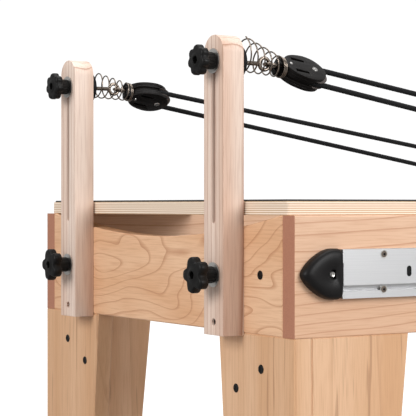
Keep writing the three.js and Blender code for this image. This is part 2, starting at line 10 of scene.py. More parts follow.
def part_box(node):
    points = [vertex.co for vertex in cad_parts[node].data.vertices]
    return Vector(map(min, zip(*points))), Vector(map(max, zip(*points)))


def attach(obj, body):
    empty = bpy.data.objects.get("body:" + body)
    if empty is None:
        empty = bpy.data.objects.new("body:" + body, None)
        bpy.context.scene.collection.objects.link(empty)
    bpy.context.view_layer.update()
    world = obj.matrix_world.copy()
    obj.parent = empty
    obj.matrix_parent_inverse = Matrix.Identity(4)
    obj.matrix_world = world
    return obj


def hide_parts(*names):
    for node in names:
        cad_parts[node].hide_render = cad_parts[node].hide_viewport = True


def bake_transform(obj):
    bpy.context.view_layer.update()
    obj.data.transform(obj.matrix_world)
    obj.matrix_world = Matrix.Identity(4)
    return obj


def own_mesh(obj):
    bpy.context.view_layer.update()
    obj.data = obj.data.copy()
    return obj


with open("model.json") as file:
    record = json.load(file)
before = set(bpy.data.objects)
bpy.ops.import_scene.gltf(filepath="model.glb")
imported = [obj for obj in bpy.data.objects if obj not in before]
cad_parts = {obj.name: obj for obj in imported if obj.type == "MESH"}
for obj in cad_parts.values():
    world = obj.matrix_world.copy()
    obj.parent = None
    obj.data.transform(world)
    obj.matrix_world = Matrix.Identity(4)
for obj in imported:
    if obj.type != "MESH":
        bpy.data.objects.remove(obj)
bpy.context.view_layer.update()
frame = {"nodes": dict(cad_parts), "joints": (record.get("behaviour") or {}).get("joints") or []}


# ---------------------------------------------------------------------------------------------
# Side rails and end boards. Solid maple, planed, edges eased, clear satin lacquer. The rails run
# full length and show end grain at the ends; the end boards are bolted between them.

MM = 0.001
SIDES = (("right", -1), ("left", 1))


def paint(hex_colour):
    """An sRGB hex colour as the linear numbers that the shader works in."""
    parts = [int(hex_colour[i:i + 2], 16) / 255 for i in (1, 3, 5)]
    linear = [c / 12.92 if c <= 0.04045 else ((c + 0.055) / 1.055) ** 2.4 for c in parts]
    return (*linear, 1.0)


def put(tree, kind, inputs=None, **settings):
    """Adds one node to a tree: settings are its own options, inputs are numbers, colours or links.
    Numbered inputs: a Mix node's 0 is the share, 6 and 7 its colours; a MapRange node's 0 is the
    value, 1 and 2 the range it comes from, 3 and 4 the range it goes to."""
    node = tree.nodes.new("ShaderNode" + kind)
    for key, value in settings.items():
        setattr(node, key, value)
    for key, value in (inputs or {}).items():
        if isinstance(value, bpy.types.NodeSocket):
            tree.links.new(value, node.inputs[key])
        else:
            node.inputs[key].default_value = value
    return node


def finish(name, roughness, metallic=0.0, ior=1.5, coat=0.0):
    """A new material: its node tree and its shader, with the plain numbers set on the shader itself."""
    material = bpy.data.materials.new(name)
    material.use_nodes = True
    shader = material.node_tree.nodes["Principled BSDF"]
    shader.inputs["Roughness"].default_value = roughness
    shader.inputs["Metallic"].default_value = metallic
    shader.inputs["IOR"].default_value = ior
    shader.inputs["Coat Weight"].default_value = coat
    return material, material.node_tree, shader


def lacquered_wood(name, grain, light, dark, line, stretch, swirl, spacing, line_share, end=None, flecks=0.0):
    """Sawn wood under satin lacquer: growth rings drawn as contour lines, fine pores, end grain.
    The stretch is along the grain: at 0.2 a figure 10 mm across is 50 mm long."""
    material, tree, shader = finish(name, 0.46, ior=1.5, coat=0.08)
    shader.inputs["Specular IOR Level"].default_value = 0.35
    place = put(tree, "TexCoord").outputs["Object"]
    long_scale = [stretch if axis == grain else 1 for axis in "XYZ"]
    long_way = put(tree, "Mapping", {"Vector": place, "Scale": long_scale}).outputs["Vector"]
    # The board's heart wanders over about 150 mm; one contour to every `spacing` mm where it is steady
    heart = put(tree, "TexNoise", {"Vector": long_way, "Scale": 6.5, "Detail": 2.5, "Roughness": 0.42})
    where = put(tree, "SeparateXYZ", {0: place})
    across = put(tree, "Math", {0: where.outputs["Y" if grain == "Z" else "Z"], 1: 1 / (spacing * MM)},
                 operation="MULTIPLY")
    level = put(tree, "Math", {0: heart.outputs["Fac"], 1: swirl, 2: across.outputs[0]},
                operation="MULTIPLY_ADD")
    ring = put(tree, "Math", {0: level.outputs[0]}, operation="FRACT")
    ring_edge = put(tree, "MapRange", {0: ring.outputs[0], 1: 0.83, 2: 1.0, 3: 0.0, 4: line_share})
    # Slow colour change across a board, about 60 mm wide
    broad = put(tree, "TexNoise", {"Vector": long_way, "Scale": 16.0, "Detail": 2.0})
    broad_share = put(tree, "MapRange", {0: broad.outputs["Fac"], 1: 0.35, 2: 0.65})
    body = put(tree, "Mix", {0: broad_share.outputs[0], 6: paint(light), 7: paint(dark)}, data_type="RGBA")
    lined = put(tree, "Mix", {0: ring_edge.outputs[0], 6: body.outputs[2], 7: paint(line)}, data_type="RGBA")
    # Pores: fine dashes under a millimetre wide, drawn a little coarse so that they show
    fibre_scale = [0.04 if axis == grain else 1 for axis in "XYZ"]
    fibre_way = put(tree, "Mapping", {"Vector": place, "Scale": fibre_scale})
    fibre = put(tree, "TexNoise", {"Vector": fibre_way.outputs[0], "Scale": 520.0, "Detail": 3.0})
    fibre_share = put(tree, "MapRange", {0: fibre.outputs["Fac"], 1: 0.45, 2: 0.75, 3: 0.0, 4: 0.30})
    colour = put(tree, "Mix", {0: fibre_share.outputs[0], 6: lined.outputs[2], 7: paint(line)},
                 data_type="RGBA")
    if flecks:
        # Dark flecks about 7 mm wide, drawn out along the grain
        spots = put(tree, "TexNoise", {"Vector": long_way, "Scale": 150.0, "Detail": 1.0})
        spot_share = put(tree, "MapRange", {0: spots.outputs["Fac"], 1: 0.66, 2: 0.72, 3: 0.0, 4: flecks})
        colour = put(tree, "Mix", {0: spot_share.outputs[0], 6: colour.outputs[2], 7: paint("#7A4A2C")},
                     data_type="RGBA")
    if end:
        # Sawn ends soak up more lacquer, so they are darker and speckled with open pores
        facing = put(tree, "SeparateXYZ", {0: put(tree, "NewGeometry").outputs["Normal"]})
        along = put(tree, "Math", {0: facing.outputs[grain]}, operation="ABSOLUTE")
        cut = put(tree, "MapRange", {0: along.outputs[0], 1: 0.75, 2: 0.9})
        speckle = put(tree, "TexNoise", {"Vector": place, "Scale": 700.0, "Detail": 2.0})
        cut_wood = put(tree, "Mix", {0: speckle.outputs["Fac"], 6: paint(end), 7: paint("#9E6650")},
                       data_type="RGBA")
        colour = put(tree, "Mix", {0: cut.outputs[0], 6: colour.outputs[2], 7: cut_wood.outputs[2]},
                     data_type="RGBA")
    tree.links.new(colour.outputs[2], shader.inputs["Base Color"])
    bump = put(tree, "Bump", {"Height": fibre.outputs["Fac"], "Strength": 0.12, "Distance": 0.2 * MM})
    tree.links.new(bump.outputs[0], shader.inputs["Normal"])
    return material


def clothe(material, *nodes):
    """Gives a CAD node its material."""
    for name in nodes:
        mesh_object = frame["nodes"][name]
        mesh_object.data.materials.clear()
        mesh_object.data.materials.append(material)


rail_maple = lacquered_wood("maple_rail", "X", "#E1BC9F", "#D7AD8D", "#A96C48", stretch=0.16, swirl=9,
                            spacing=13, line_share=0.6, end="#B98266")
cross_maple = lacquered_wood("maple_end_board", "Y", "#E6BC98", "#DAA981", "#A4633C", stretch=0.3, swirl=24,
                             spacing=60, line_share=0.55, end="#B98266")
clothe(rail_maple, "side_rail_right", "side_rail_left")
clothe(cross_maple, "head_end_board", "foot_end_board")


# ---------------------------------------------------------------------------------------------
# Legs. Each is two tapered beech boards screwed together into an L, grain upright, with short
# dark flecks under the same lacquer as the frame.

leg_beech = lacquered_wood("beech_leg", "Z", "#DDB490", "#D0A27A", "#AE7B56", stretch=0.05, swirl=7,
                           spacing=14, line_share=0.3, flecks=0.35)
for end in ("head", "foot"):
    for side, _ in SIDES:
        clothe(leg_beech, f"leg_side_board_{end}_{side}", f"leg_end_board_{end}_{side}")


# ---------------------------------------------------------------------------------------------
# Platforms and deck. Birch plywood: 1.4 mm veneers, pale and brown by turns at the edges, birch
# face veneer on top. The head platform carries a ribbed black rubber mat.

def birch_plywood():
    # Rotary-cut birch: a plain pale face, and edges striped by the crossed veneers
    material, tree, shader = finish("birch_plywood", 0.5, ior=1.5, coat=0.08)
    place = put(tree, "TexCoord").outputs["Object"]
    # Two plies, 2.8 mm, to one wave: a Z wave of scale s repeats every 2 pi / (20 s) metres
    plies = put(tree, "TexWave", {"Vector": place, "Scale": 2 * math.pi / (20 * 2.8 * MM), "Distortion": 0.5,
                                  "Detail": 1.0, "Detail Scale": 0.02},
                wave_type="BANDS", bands_direction="Z")
    ply_share = put(tree, "MapRange", {0: plies.outputs["Fac"], 1: 0.2, 2: 0.7})
    edge = put(tree, "Mix", {0: ply_share.outputs[0], 6: paint("#C19C7A"), 7: paint("#F3E5D4")},
               data_type="RGBA")
    fibre_way = put(tree, "Mapping", {"Vector": place, "Scale": (0.05, 1, 1)})
    fibre = put(tree, "TexNoise", {"Vector": fibre_way.outputs[0], "Scale": 260.0, "Detail": 4.0})
    face = put(tree, "Mix", {0: fibre.outputs["Fac"], 6: paint("#E8D2AF"), 7: paint("#CFAE83")},
               data_type="RGBA")
    facing = put(tree, "SeparateXYZ", {0: put(tree, "NewGeometry").outputs["Normal"]})
    upright = put(tree, "Math", {0: facing.outputs["Z"]}, operation="ABSOLUTE")
    face_share = put(tree, "MapRange", {0: upright.outputs[0], 1: 0.6, 2: 0.8})
    colour = put(tree, "Mix", {0: face_share.outputs[0], 6: edge.outputs[2], 7: face.outputs[2]},
                 data_type="RGBA")
    tree.links.new(colour.outputs[2], shader.inputs["Base Color"])
    bump = put(tree, "Bump", {"Height": fibre.outputs["Fac"], "Strength": 0.1, "Distance": 0.2 * MM})
    tree.links.new(bump.outputs[0], shader.inputs["Normal"])
    return material


def ribbed_rubber():
    # Non-slip mat with a rib every 4 mm across it
    material, tree, shader = finish("ribbed_rubber", 0.8, ior=1.52)
    place = put(tree, "TexCoord").outputs["Object"]
    ribs = put(tree, "TexWave", {"Vector": place, "Scale": 2 * math.pi / (20 * 4 * MM)},
               wave_type="BANDS", bands_direction="X")
    grit = put(tree, "TexNoise", {"Vector": place, "Scale": 900.0, "Detail": 3.0})
    colour = put(tree, "Mix", {0: grit.outputs["Fac"], 6: paint("#242323"), 7: paint("#3A3838")},
                 data_type="RGBA")
    tree.links.new(colour.outputs[2], shader.inputs["Base Color"])
    height = put(tree, "Math", {0: ribs.outputs["Fac"], 1: grit.outputs["Fac"]}, operation="ADD")
    bump = put(tree, "Bump", {"Height": height.outputs[0], "Strength": 0.5, "Distance": 0.5 * MM})
    tree.links.new(bump.outputs[0], shader.inputs["Normal"])
    return material


plywood = birch_plywood()
clothe(plywood, "head_platform", "foot_platform", "carriage_deck")
clothe(ribbed_rubber(), "head_platform_mat")


# ---------------------------------------------------------------------------------------------
# Outer tracks, running rails and footbar sliders. Extruded aluminium, satin anodised, with faint
# die lines along it. The tracks are held by steel screws and have black oblong plugs; a black disc
# on each screw head is painted shade for its socket.

def satin_aluminium():
    # Anodised after extruding: a soft even shine with faint lines along the bar
    material, tree, shader = finish("satin_aluminium", 0.36, metallic=1.0)
    place = put(tree, "TexCoord").outputs["Object"]
    die_way = put(tree, "Mapping", {"Vector": place, "Scale": (0.004, 1, 1)})
    die = put(tree, "TexNoise", {"Vector": die_way.outputs[0], "Scale": 1500.0, "Detail": 3.0})
    colour = put(tree, "Mix", {0: die.outputs["Fac"], 6: paint("#DEDEDE"), 7: paint("#C6C6C8")},
                 data_type="RGBA")
    gloss = put(tree, "MapRange", {0: die.outputs["Fac"], 3: 0.28, 4: 0.46})
    tree.links.new(colour.outputs[2], shader.inputs["Base Color"])
    tree.links.new(gloss.outputs[0], shader.inputs["Roughness"])
    bump = put(tree, "Bump", {"Height": die.outputs["Fac"], "Strength": 0.08, "Distance": 0.1 * MM})
    tree.links.new(bump.outputs[0], shader.inputs["Normal"])
    return material


def zinc_steel(name="zinc_screw", light="#B9B4AD", dark="#7E7872", roughness=0.3):
    # Plated steel: bright, slightly uneven
    material, tree, shader = finish(name, roughness, metallic=1.0)
    place = put(tree, "TexCoord").outputs["Object"]
    cloud = put(tree, "TexNoise", {"Vector": place, "Scale": 420.0, "Detail": 2.0})
    colour = put(tree, "Mix", {0: cloud.outputs["Fac"], 6: paint(light), 7: paint(dark)}, data_type="RGBA")
    tree.links.new(colour.outputs[2], shader.inputs["Base Color"])
    return material


def moulded_black(name, base="#100F0F", worn="#1A1817", roughness=0.5, grit=1300.0, depth=0.12):
    # Injection-moulded nylon with a fine spark-eroded texture: dark, with low broad highlights
    material, tree, shader = finish(name, roughness, ior=1.53)
    shader.inputs["Specular IOR Level"].default_value = 0.16
    place = put(tree, "TexCoord").outputs["Object"]
    fine = put(tree, "TexNoise", {"Vector": place, "Scale": grit, "Detail": 2.0})
    broad = put(tree, "TexNoise", {"Vector": place, "Scale": 60.0, "Detail": 2.0})
    colour = put(tree, "Mix", {0: broad.outputs["Fac"], 6: paint(base), 7: paint(worn)}, data_type="RGBA")
    tree.links.new(colour.outputs[2], shader.inputs["Base Color"])
    bump = put(tree, "Bump", {"Height": fine.outputs["Fac"], "Strength": 0.2, "Distance": depth * MM})
    tree.links.new(bump.outputs[0], shader.inputs["Normal"])
    return material


def new_piece(name, mesh, material, body, slot_name, *nodes):
    """Puts a finished mesh in the scene on its body, in place of the CAD nodes named."""
    piece = bpy.data.objects.new(name, mesh)
    bpy.context.scene.collection.objects.link(piece)
    piece.data.materials.clear()
    piece.data.materials.append(material)
    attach(piece, body)
    if nodes:
        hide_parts(*nodes)
    return piece


def skin(name, rings, closed=False):
    """A mesh through rings of points that all have the same count; its two ends are capped."""
    count = len(rings[0])
    vertices = [point for ring in rings for point in ring]
    faces = []
    for i in range(len(rings) if closed else len(rings) - 1):
        a, b = i * count, ((i + 1) % len(rings)) * count
        for j in range(count):
            k = (j + 1) % count
            faces.append((a + j, a + k, b + k, b + j))
    if not closed:
        faces.append(tuple(reversed(range(count))))
        faces.append(tuple(range((len(rings) - 1) * count, len(rings) * count)))
    mesh = bpy.data.meshes.new(name)
    mesh.from_pydata([tuple(v) for v in vertices], [], faces)
    shape = bmesh.new()
    shape.from_mesh(mesh)
    bmesh.ops.recalc_face_normals(shape, faces=shape.faces)
    shape.to_mesh(mesh)
    shape.free()
    mesh.shade_smooth()
    mesh.set_sharp_from_angle(angle=math.radians(38))
    return mesh


def turn(name, profile, matrix, steps=48):
    """A turned mesh: pairs of radius and height in mm about the matrix's own Z."""
    rings = []
    for radius, height in profile:
        ring = []
        for i in range(steps):
            angle = 2 * math.pi * i / steps
            point = Vector((radius * math.cos(angle), radius * math.sin(angle), height)) * MM
            ring.append(matrix @ point)
        rings.append(ring)
    return skin(name, rings)


def facing(point, direction):
    """A matrix at a point whose own Z looks along the direction."""
    return Matrix.Translation(point) @ Vector(direction).to_track_quat("Z", "Y").to_matrix().to_4x4()


aluminium = satin_aluminium()
screw_steel = zinc_steel("zinc_screw", "#DAD8D4", "#B5B1AC")
dark_screw = zinc_steel("dark_screw", "#857A70", "#5C534B", roughness=0.4)
clothe(aluminium, "outer_track_right", "outer_track_left", "running_rail_right", "running_rail_left",
       "footbar_slider_right", "footbar_slider_left")
# Black plastic for the oblong plugs; the same black is the painted shade in the screw sockets
plug_and_socket_shade_black = moulded_black("black_plug_and_socket_shade", "#060606", "#0C0C0C", roughness=0.6)

frame_low, frame_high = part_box("side_rail_right")
head_x, foot_x = frame_low[0], frame_high[0]
frame_top = frame_high[2]
SCREW_FROM_END = 133 * MM      # first pair of screws from the frame's end
SCREW_STEP = 314 * MM
PLUG_FROM_SCREW = 40 * MM
UPPER_SCREW = 7.2 * MM         # below the track's top edge
LOWER_SCREW = 52.4 * MM
PLUG_HEIGHT = 29.6 * MM
PLUG_RADIUS, PLUG_STRAIGHT = 3.8, 3.2       # round ends, and half the straight between them, in mm

for side, sign in SIDES:
    track_low, track_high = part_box(f"outer_track_{side}")
    outside = sign * max(abs(track_low[1]), abs(track_high[1]))
    outward = Vector((0, sign, 0))
    for i in range(7):
        x = head_x + SCREW_FROM_END + i * SCREW_STEP
        for j, drop in enumerate((UPPER_SCREW, LOWER_SCREW)):
            # The upper flange stands 1.5 mm back from the face; the lower screw sits on the sloped wall
            at = Vector((x, outside - outward.y * (1.5 + 0.7 * j) * MM, track_high[2] - drop))
            profile = [(0.1, 0.25), (1.9, 0.3), (2.2, 0.75), (3.9, 0.7), (4.3, 0.3), (4.3, -4)]
            screw = turn(f"track_screw_{side}_{i}_{j}", profile, facing(at, outward), 28)
            new_piece(screw.name, screw, dark_screw, "frame", "nickel_steel")
            rim = turn(f"track_countersink_{side}_{i}_{j}", [(4.3, 0.12), (5.3, 0.35), (5.7, 0.3), (5.7, -1)],
                       facing(at, outward), 32)
            new_piece(rim.name, rim, screw_steel, "frame", "satin_aluminium")
            # Painted shade: a black disc on the screw head stands for the shade in its socket
            painted_socket_shade = turn(f"track_socket_{side}_{i}_{j}", [(0.1, 0.95), (1.3, 0.95), (1.6, 0.6)],
                          facing(at, outward), 16)
            new_piece(painted_socket_shade.name, painted_socket_shade, plug_and_socket_shade_black, "frame", "cap_plastic")
        # Oblong plug, 7.6 by 14 mm, its long way up
        centre = Vector((x + PLUG_FROM_SCREW, outside, track_high[2] - PLUG_HEIGHT))
        rings = []
        for scale, out in ((1.0, -1.0), (1.0, 0.1), (0.86, 0.5), (0.5, 0.2)):
            ring = []
            for k in range(32):
                angle = 2 * math.pi * k / 32
                lift = PLUG_STRAIGHT if math.sin(angle) > 0 else -PLUG_STRAIGHT
                across = PLUG_RADIUS * math.cos(angle) * scale
                upward = (PLUG_RADIUS * math.sin(angle) + lift) * scale
                ring.append(centre + Vector((across, sign * out, upward)) * MM)
            rings.append(ring)
        plug = skin(f"track_plug_{side}_{i}", rings)
        new_piece(plug.name, plug, plug_and_socket_shade_black, "frame", "cap_plastic")


# ---------------------------------------------------------------------------------------------
# Track end caps. Moulded black caps, bullet-shaped and domed, each held by a pan screw sunk in a
# round hole.

cap_black = moulded_black("moulded_cap", "#0D0C0C", "#151313", roughness=0.42)


def arc(cx, cy, radius, start, end, steps):
    """Points on an arc, angles in degrees."""
    points = []
    for i in range(steps + 1):
        angle = math.radians(start + (end - start) * i / steps)
        points.append((cx + radius * math.cos(angle), cy + radius * math.sin(angle)))
    return points


CAP_SCREW_FROM_TRACK = 17 * MM
CAP_SCREW_HOLE = 6.4            # radius, in mm
CAP_HALF, CAP_LENGTH, CAP_CORNER = 32.35, 59.5, 7


def bullet():
    """The cap's outline from the side: square end at 0 with rounded corners, pointed nose at -length."""
    top = arc(-CAP_CORNER, CAP_HALF - CAP_CORNER, CAP_CORNER, 0, 90, 7)
    start = Vector((-CAP_LENGTH * 0.24, CAP_HALF))
    pull_out, pull_in = Vector((-CAP_LENGTH * 0.54, CAP_HALF)), Vector((-CAP_LENGTH, CAP_HALF * 0.31))
    nose = Vector((-CAP_LENGTH, 0))
    for i in range(25):
        t = i / 24
        point = (start * (1 - t) ** 3 + pull_out * 3 * t * (1 - t) ** 2 + pull_in * 3 * t * t * (1 - t)
                 + nose * t ** 3)
        top.append((point.x, point.y))
    return top + [(x, -z) for x, z in reversed(top[:-1])]


def domed_cap(name, centre_z, track_x, direction, sign, low_y, depth):
    """Rings of the bullet outline, drawn in as they rise, with a screw hole sunk in the dome."""
    outline = bullet()
    hole_x = -CAP_SCREW_FROM_TRACK / MM
    rings = []
    for inset, out in ((0.3, 0), (0, 0.8), (0, depth * 0.45), (1.2, depth * 0.72), (3.4, depth * 0.88),
                       (7.0, depth * 0.97), (12, depth)):
        scale_z = (CAP_HALF - inset) / CAP_HALF
        scale_x = (CAP_LENGTH - 1.6 * inset) / CAP_LENGTH
        ring = []
        for x, z in outline:
            ring.append((x * scale_x - inset * 0.45, z * scale_z, out))
        rings.append(ring)
    for radius, out in ((CAP_SCREW_HOLE + 1, depth), (CAP_SCREW_HOLE, depth - 0.7),
                        (CAP_SCREW_HOLE, depth - 4.5)):
        ring = []
        for x, z in outline:
            angle = math.atan2(z, x - hole_x)
            ring.append((hole_x + radius * math.cos(angle), radius * math.sin(angle), out))
        rings.append(ring)
    placed = []
    for ring in rings:
        placed.append([Vector((track_x + direction * x * MM, low_y + sign * out * MM, centre_z + z * MM))
                       for x, z, out in ring])
    return skin(name, placed)


for side, sign in SIDES:
    for end, direction in (("head", 1), ("foot", -1)):
        low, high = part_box(f"track_cap_{end}_{side}")
        track_x = high[0] if end == "head" else low[0]
        inner_y = sign * min(abs(low[1]), abs(high[1]))
        middle_z = (low[2] + high[2]) / 2
        depth = abs(high[1] - low[1]) / MM
        name = f"end_cap_{end}_{side}"
        mesh = domed_cap(name, middle_z, track_x, direction, sign, inner_y, depth)
        new_piece(name, mesh, cap_black, "frame", "cap_plastic", f"track_cap_{end}_{side}")
        seat_y = inner_y + sign * (depth - 4.4) * MM
        at = Vector((track_x - direction * CAP_SCREW_FROM_TRACK, seat_y, middle_z))
        profile = [(0.1, 0.9), (1.4, 1.0), (1.7, 1.8), (3.0, 2.2), (3.9, 1.3), (4.0, -0.6)]
        head = turn(f"cap_screw_{end}_{side}", profile, facing(at, (0, sign, 0)), 28)
        new_piece(head.name, head, screw_steel, "frame", "nickel_steel")


# ---------------------------------------------------------------------------------------------
# Pulley risers. Pale ash with rounded tops, a long slot for the pulley's clamping bolt and a
# blackened bolt sunk near the foot; their edges are rounded over.

def plate(name, outlines, thickness, matrix, edge=0.0, edge_steps=3):
    """A flat piece cut to outlines (the first is its edge, the rest are holes), in mm, edges rounded."""
    half = thickness / 2
    loops = [[Vector((x, y, 0)) for x, y in loop] for loop in outlines]
    flat = [point for loop in loops for point in loop]
    triangles = tessellate_polygon(loops)
    count = len(flat)
    vertices = [Vector((p.x, p.y, -half)) for p in flat] + [Vector((p.x, p.y, half)) for p in flat]
    faces = [tuple(t) for t in triangles] + [tuple(i + count for i in reversed(t)) for t in triangles]
    start = 0
    for loop in loops:
        for i in range(len(loop)):
            a, b = start + i, start + (i + 1) % len(loop)
            faces.append((a, b, b + count, a + count))
        start += len(loop)
    mesh = bpy.data.meshes.new(name)
    mesh.from_pydata([tuple(matrix @ (v * MM)) for v in vertices], [], faces)
    shape = bmesh.new()
    shape.from_mesh(mesh)
    bmesh.ops.recalc_face_normals(shape, faces=shape.faces)
    bmesh.ops.dissolve_limit(shape, angle_limit=math.radians(1), verts=shape.verts, edges=shape.edges)
    if edge:
        rims = [e for e in shape.edges if len(e.link_faces) == 2 and e.calc_face_angle(0) > math.radians(50)]
        bmesh.ops.bevel(shape, geom=rims, offset=edge * MM, segments=edge_steps, affect="EDGES",
                        profile=0.5, clamp_overlap=True)
    shape.to_mesh(mesh)
    shape.free()
    mesh.shade_smooth()
    mesh.set_sharp_from_angle(angle=math.radians(25))
    return mesh


riser_ash = lacquered_wood("ash_riser", "Z", "#EAD5C6", "#D6B5A0", "#9C6448", stretch=0.035, swirl=10,
                           spacing=9, line_share=0.8)
bolt_black = moulded_black("blackened_bolt", "#0B0A0A", "#171514", roughness=0.35)
END_WISE = Matrix(((0, 0, 1, 0), (1, 0, 0, 0), (0, 1, 0, 0), (0, 0, 0, 1)))
RISER_OFFSET = 211              # from the centre line
SLOT_HALF = 3.5
SLOT_BOTTOM = -11
SLOT_TOP = 202
STEM_HEIGHT = {"right": 202, "left": 195.3}     # each pulley is clamped at its own height
LOWER_KNOB_DROP = 78
FOOT_BOLT_DROP = 140

for side, sign in SIDES:
    low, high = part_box(f"riser_{side}")
    middle = Vector(((low[0] + high[0]) / 2, (low[1] + high[1]) / 2, frame_top))
    half = (high[1] - low[1]) / 2 / MM
    foot, crown = (low[2] - frame_top) / MM, (high[2] - frame_top) / MM
    edge_line = [(-half, foot), (half, foot)] + arc(0, crown - half, half, 0, 180, 40)
    slot_line = (arc(0, SLOT_BOTTOM + SLOT_HALF, SLOT_HALF, 180, 360, 12)
                 + arc(0, SLOT_TOP + 0.3, SLOT_HALF, 0, 180, 12))
    bolt_line = arc(0, -LOWER_KNOB_DROP, 3.3, 0, 345, 23)
    foot_line = arc(0, -FOOT_BOLT_DROP, 4.6, 0, 345, 23)
    mesh = plate(f"riser_post_{side}", [edge_line, slot_line, bolt_line, foot_line],
                 (high[0] - low[0]) / MM, Matrix.Translation(middle) @ END_WISE, edge=2.4)
    new_piece(mesh.name, mesh, riser_ash, "frame", "ash_riser", f"riser_{side}")
    at = Vector((low[0] + 3.5 * MM, middle.y, frame_top - FOOT_BOLT_DROP * MM))
    pin = turn(f"riser_bolt_{side}", [(0.1, -1), (2, -1), (2.4, 0), (4, 0), (4.4, -0.5), (4.4, -8)],
               facing(at, (-1, 0, 0)), 24)
    new_piece(pin.name, pin, bolt_black, "frame", "knob_plastic")


# ---------------------------------------------------------------------------------------------
# Frame and leg bolts. Blackened steel socket-head bolts, let into the end boards and legs until
# their heads stand a millimetre proud; they hold the boards to the rails and the legs to both.

BOLTS = ((273, -77), (275, -198), (216, -228))     # from the centre line, from the frame's top

for end, x, out in (("head", head_x, -1), ("foot", foot_x, 1)):
    for side, sign in SIDES:
        for i, (across, height) in enumerate(BOLTS):
            at = Vector((x, sign * across * MM, frame_top + height * MM))
            profile = [(0.1, 0.2), (2.6, 0.2), (3.0, 0.8), (5.4, 0.9), (6.0, 0.4), (6.0, -1.2)]
            bolt = turn(f"frame_bolt_{end}_{side}_{i}", profile, facing(at, (out, 0, 0)), 32)
            new_piece(bolt.name, bolt, bolt_black, "frame", "knob_plastic")


# ---------------------------------------------------------------------------------------------
# Clamping knobs. Moulded star knobs on fluted hubs with a deep socket in the face, each pulled
# down on a plated steel washer.

knob_black = moulded_black("moulded_knob", "#0C0B0B", "#141312", roughness=0.42)


def star_knob(name, matrix, lobes, radius, lobe_depth, head, length, hub):
    """Rings from the bottom of the socket, out over the lobed head and down the fluted hub."""
    steps = lobes * 16
    profile = [  # radius, height down from the face, share of the lobes, depth of the flutes
        (1.5, 8, 0, 0), (4.9, 7.6, 0, 0), (5.2, 0.9, 0, 0), (6.0, 0.1, 0, 0), (7.4, 0, 0, 0),
        (8.6, 0.7, 0, 0), (radius * 0.62, 0.9, 0.3, 0), (radius - 3.4, 0.8, 0.8, 0),
        (radius - 1.5, 1.5, 1, 0), (radius - 0.3, 3.2, 1, 0), (radius, 5, 1, 0), (radius, head - 3, 1, 0),
        (radius - 0.6, head - 1.6, 1, 0), (radius - 2.6, head - 0.6, 1, 0), (hub + 3.5, head, 0.3, 0),
        (hub + 1, head + 0.8, 0, 0),
        (hub, head + 2.4, 0, 0.6), (hub, length - 1.2, 0, 0.6), (hub - 0.8, length, 0, 0), (3, length, 0, 0),
    ]
    rings = []
    for size, height, lobe_share, flute in profile:
        ring = []
        for i in range(steps):
            angle = 2 * math.pi * i / steps
            hollow = ((1 - math.cos(lobes * angle)) / 2) ** 1.6
            reach = size - 2 * lobe_depth * lobe_share * hollow
            reach -= flute * max(0.0, math.cos(2 * lobes * angle)) ** 3
            ring.append(matrix @ (Vector((reach * math.cos(angle), reach * math.sin(angle), height)) * MM))
        rings.append(ring)
    return skin(name, rings)


for side, sign in SIDES:
    for label, body, lobes, lobe_depth in (("top", f"top_knob_{side}", 7, 1.6),
                                           ("lower", f"lower_knob_{side}", 5, 3.6)):
        low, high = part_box(f"{label}_knob_{side}")
        length = (high[0] - low[0]) / MM
        radius, head, hub = (20.5, 13, 11.5) if label == "top" else (24.5, 15, 11.2)
        centre_y = sign * RISER_OFFSET * MM
        height = frame_top + (STEM_HEIGHT[side] if label == "top" else -LOWER_KNOB_DROP) * MM
        # One lobe of the lower knob points to the left
        start = Matrix.Rotation(math.radians(90 if label == "top" else 0), 4, "Z")
        place = Matrix.Translation((low[0], centre_y, height)) @ END_WISE @ start
        mesh = star_knob(f"{label}_star_knob_{side}", place, lobes, radius, lobe_depth, head, length, hub)
        new_piece(mesh.name, mesh, knob_black, body, "knob_plastic", f"{label}_knob_{side}")
        at = Vector((high[0], centre_y, height))
        washer = turn(f"{label}_washer_{side}", [(4, 0.2), (15.6, 0.2), (16.4, 0.6), (16.4, 1.6), (15.8, 2.0),
                                                (4, 2.0)], facing(at, (1, 0, 0)), 48)
        holder = f"pulley_carrier_{side}" if label == "top" else "frame"
        new_piece(washer.name, washer, screw_steel, holder, "nickel_steel")


# ---------------------------------------------------------------------------------------------
# Clamping bolts and springs. A plated eyebolt passes the riser's slot and a domed rubber disc; a
# cone of nickel-plated wire from the disc to the pulley's neck holds the pulley up.

nickel = zinc_steel("nickel_wire", "#A3978C", "#655B52", roughness=0.24)
disc_rubber = moulded_black("disc_rubber", "#08080A", "#101012", roughness=0.55, grit=700.0)


def wire(name, points, radius, sides=12, closed=False):
    """A round wire or tube along points in metres; the radius is in mm."""
    tangents = []
    last = len(points) - 1
    for i in range(len(points)):
        before = points[i - 1] if (i > 0 or closed) else points[i]
        after = points[(i + 1) % len(points)] if (i < last or closed) else points[i]
        tangents.append((after - before).normalized())
    normal = tangents[0].orthogonal().normalized()
    rings = []
    for point, tangent in zip(points, tangents):
        normal = (normal - tangent * normal.dot(tangent)).normalized()
        other = tangent.cross(normal)
        ring = []
        for j in range(sides):
            angle = 2 * math.pi * j / sides
            ring.append(point + (normal * math.cos(angle) + other * math.sin(angle)) * radius * MM)
        rings.append(ring)
    return skin(name, rings, closed)


def hoop(centre, along, across, radius, steps=36):
    """Points round a circle in the plane of two directions; the radius is in mm."""
    points = []
    for i in range(steps):
        angle = 2 * math.pi * i / steps
        points.append(centre + (along * math.cos(angle) + across * math.sin(angle)) * radius * MM)
    return points


SPRING_TURNS = 7.5
SPRING_START, SPRING_END = 9.7, 77
BIG_COIL = {"right": 24.5, "left": 20.5}
SMALL_COIL = 13.2
SPRING_LIFT = {"right": 13, "left": 6}          # the big end rides above the bolt
PITCH = math.radians(9.2)
ROLL = {"right": 45, "left": -28}
pivots = {}
for joint in frame["joints"]:
    if joint["name"].startswith("pulley_swing"):
        pivots[joint["name"].split("_")[-1]] = Vector(joint["pos_m"])

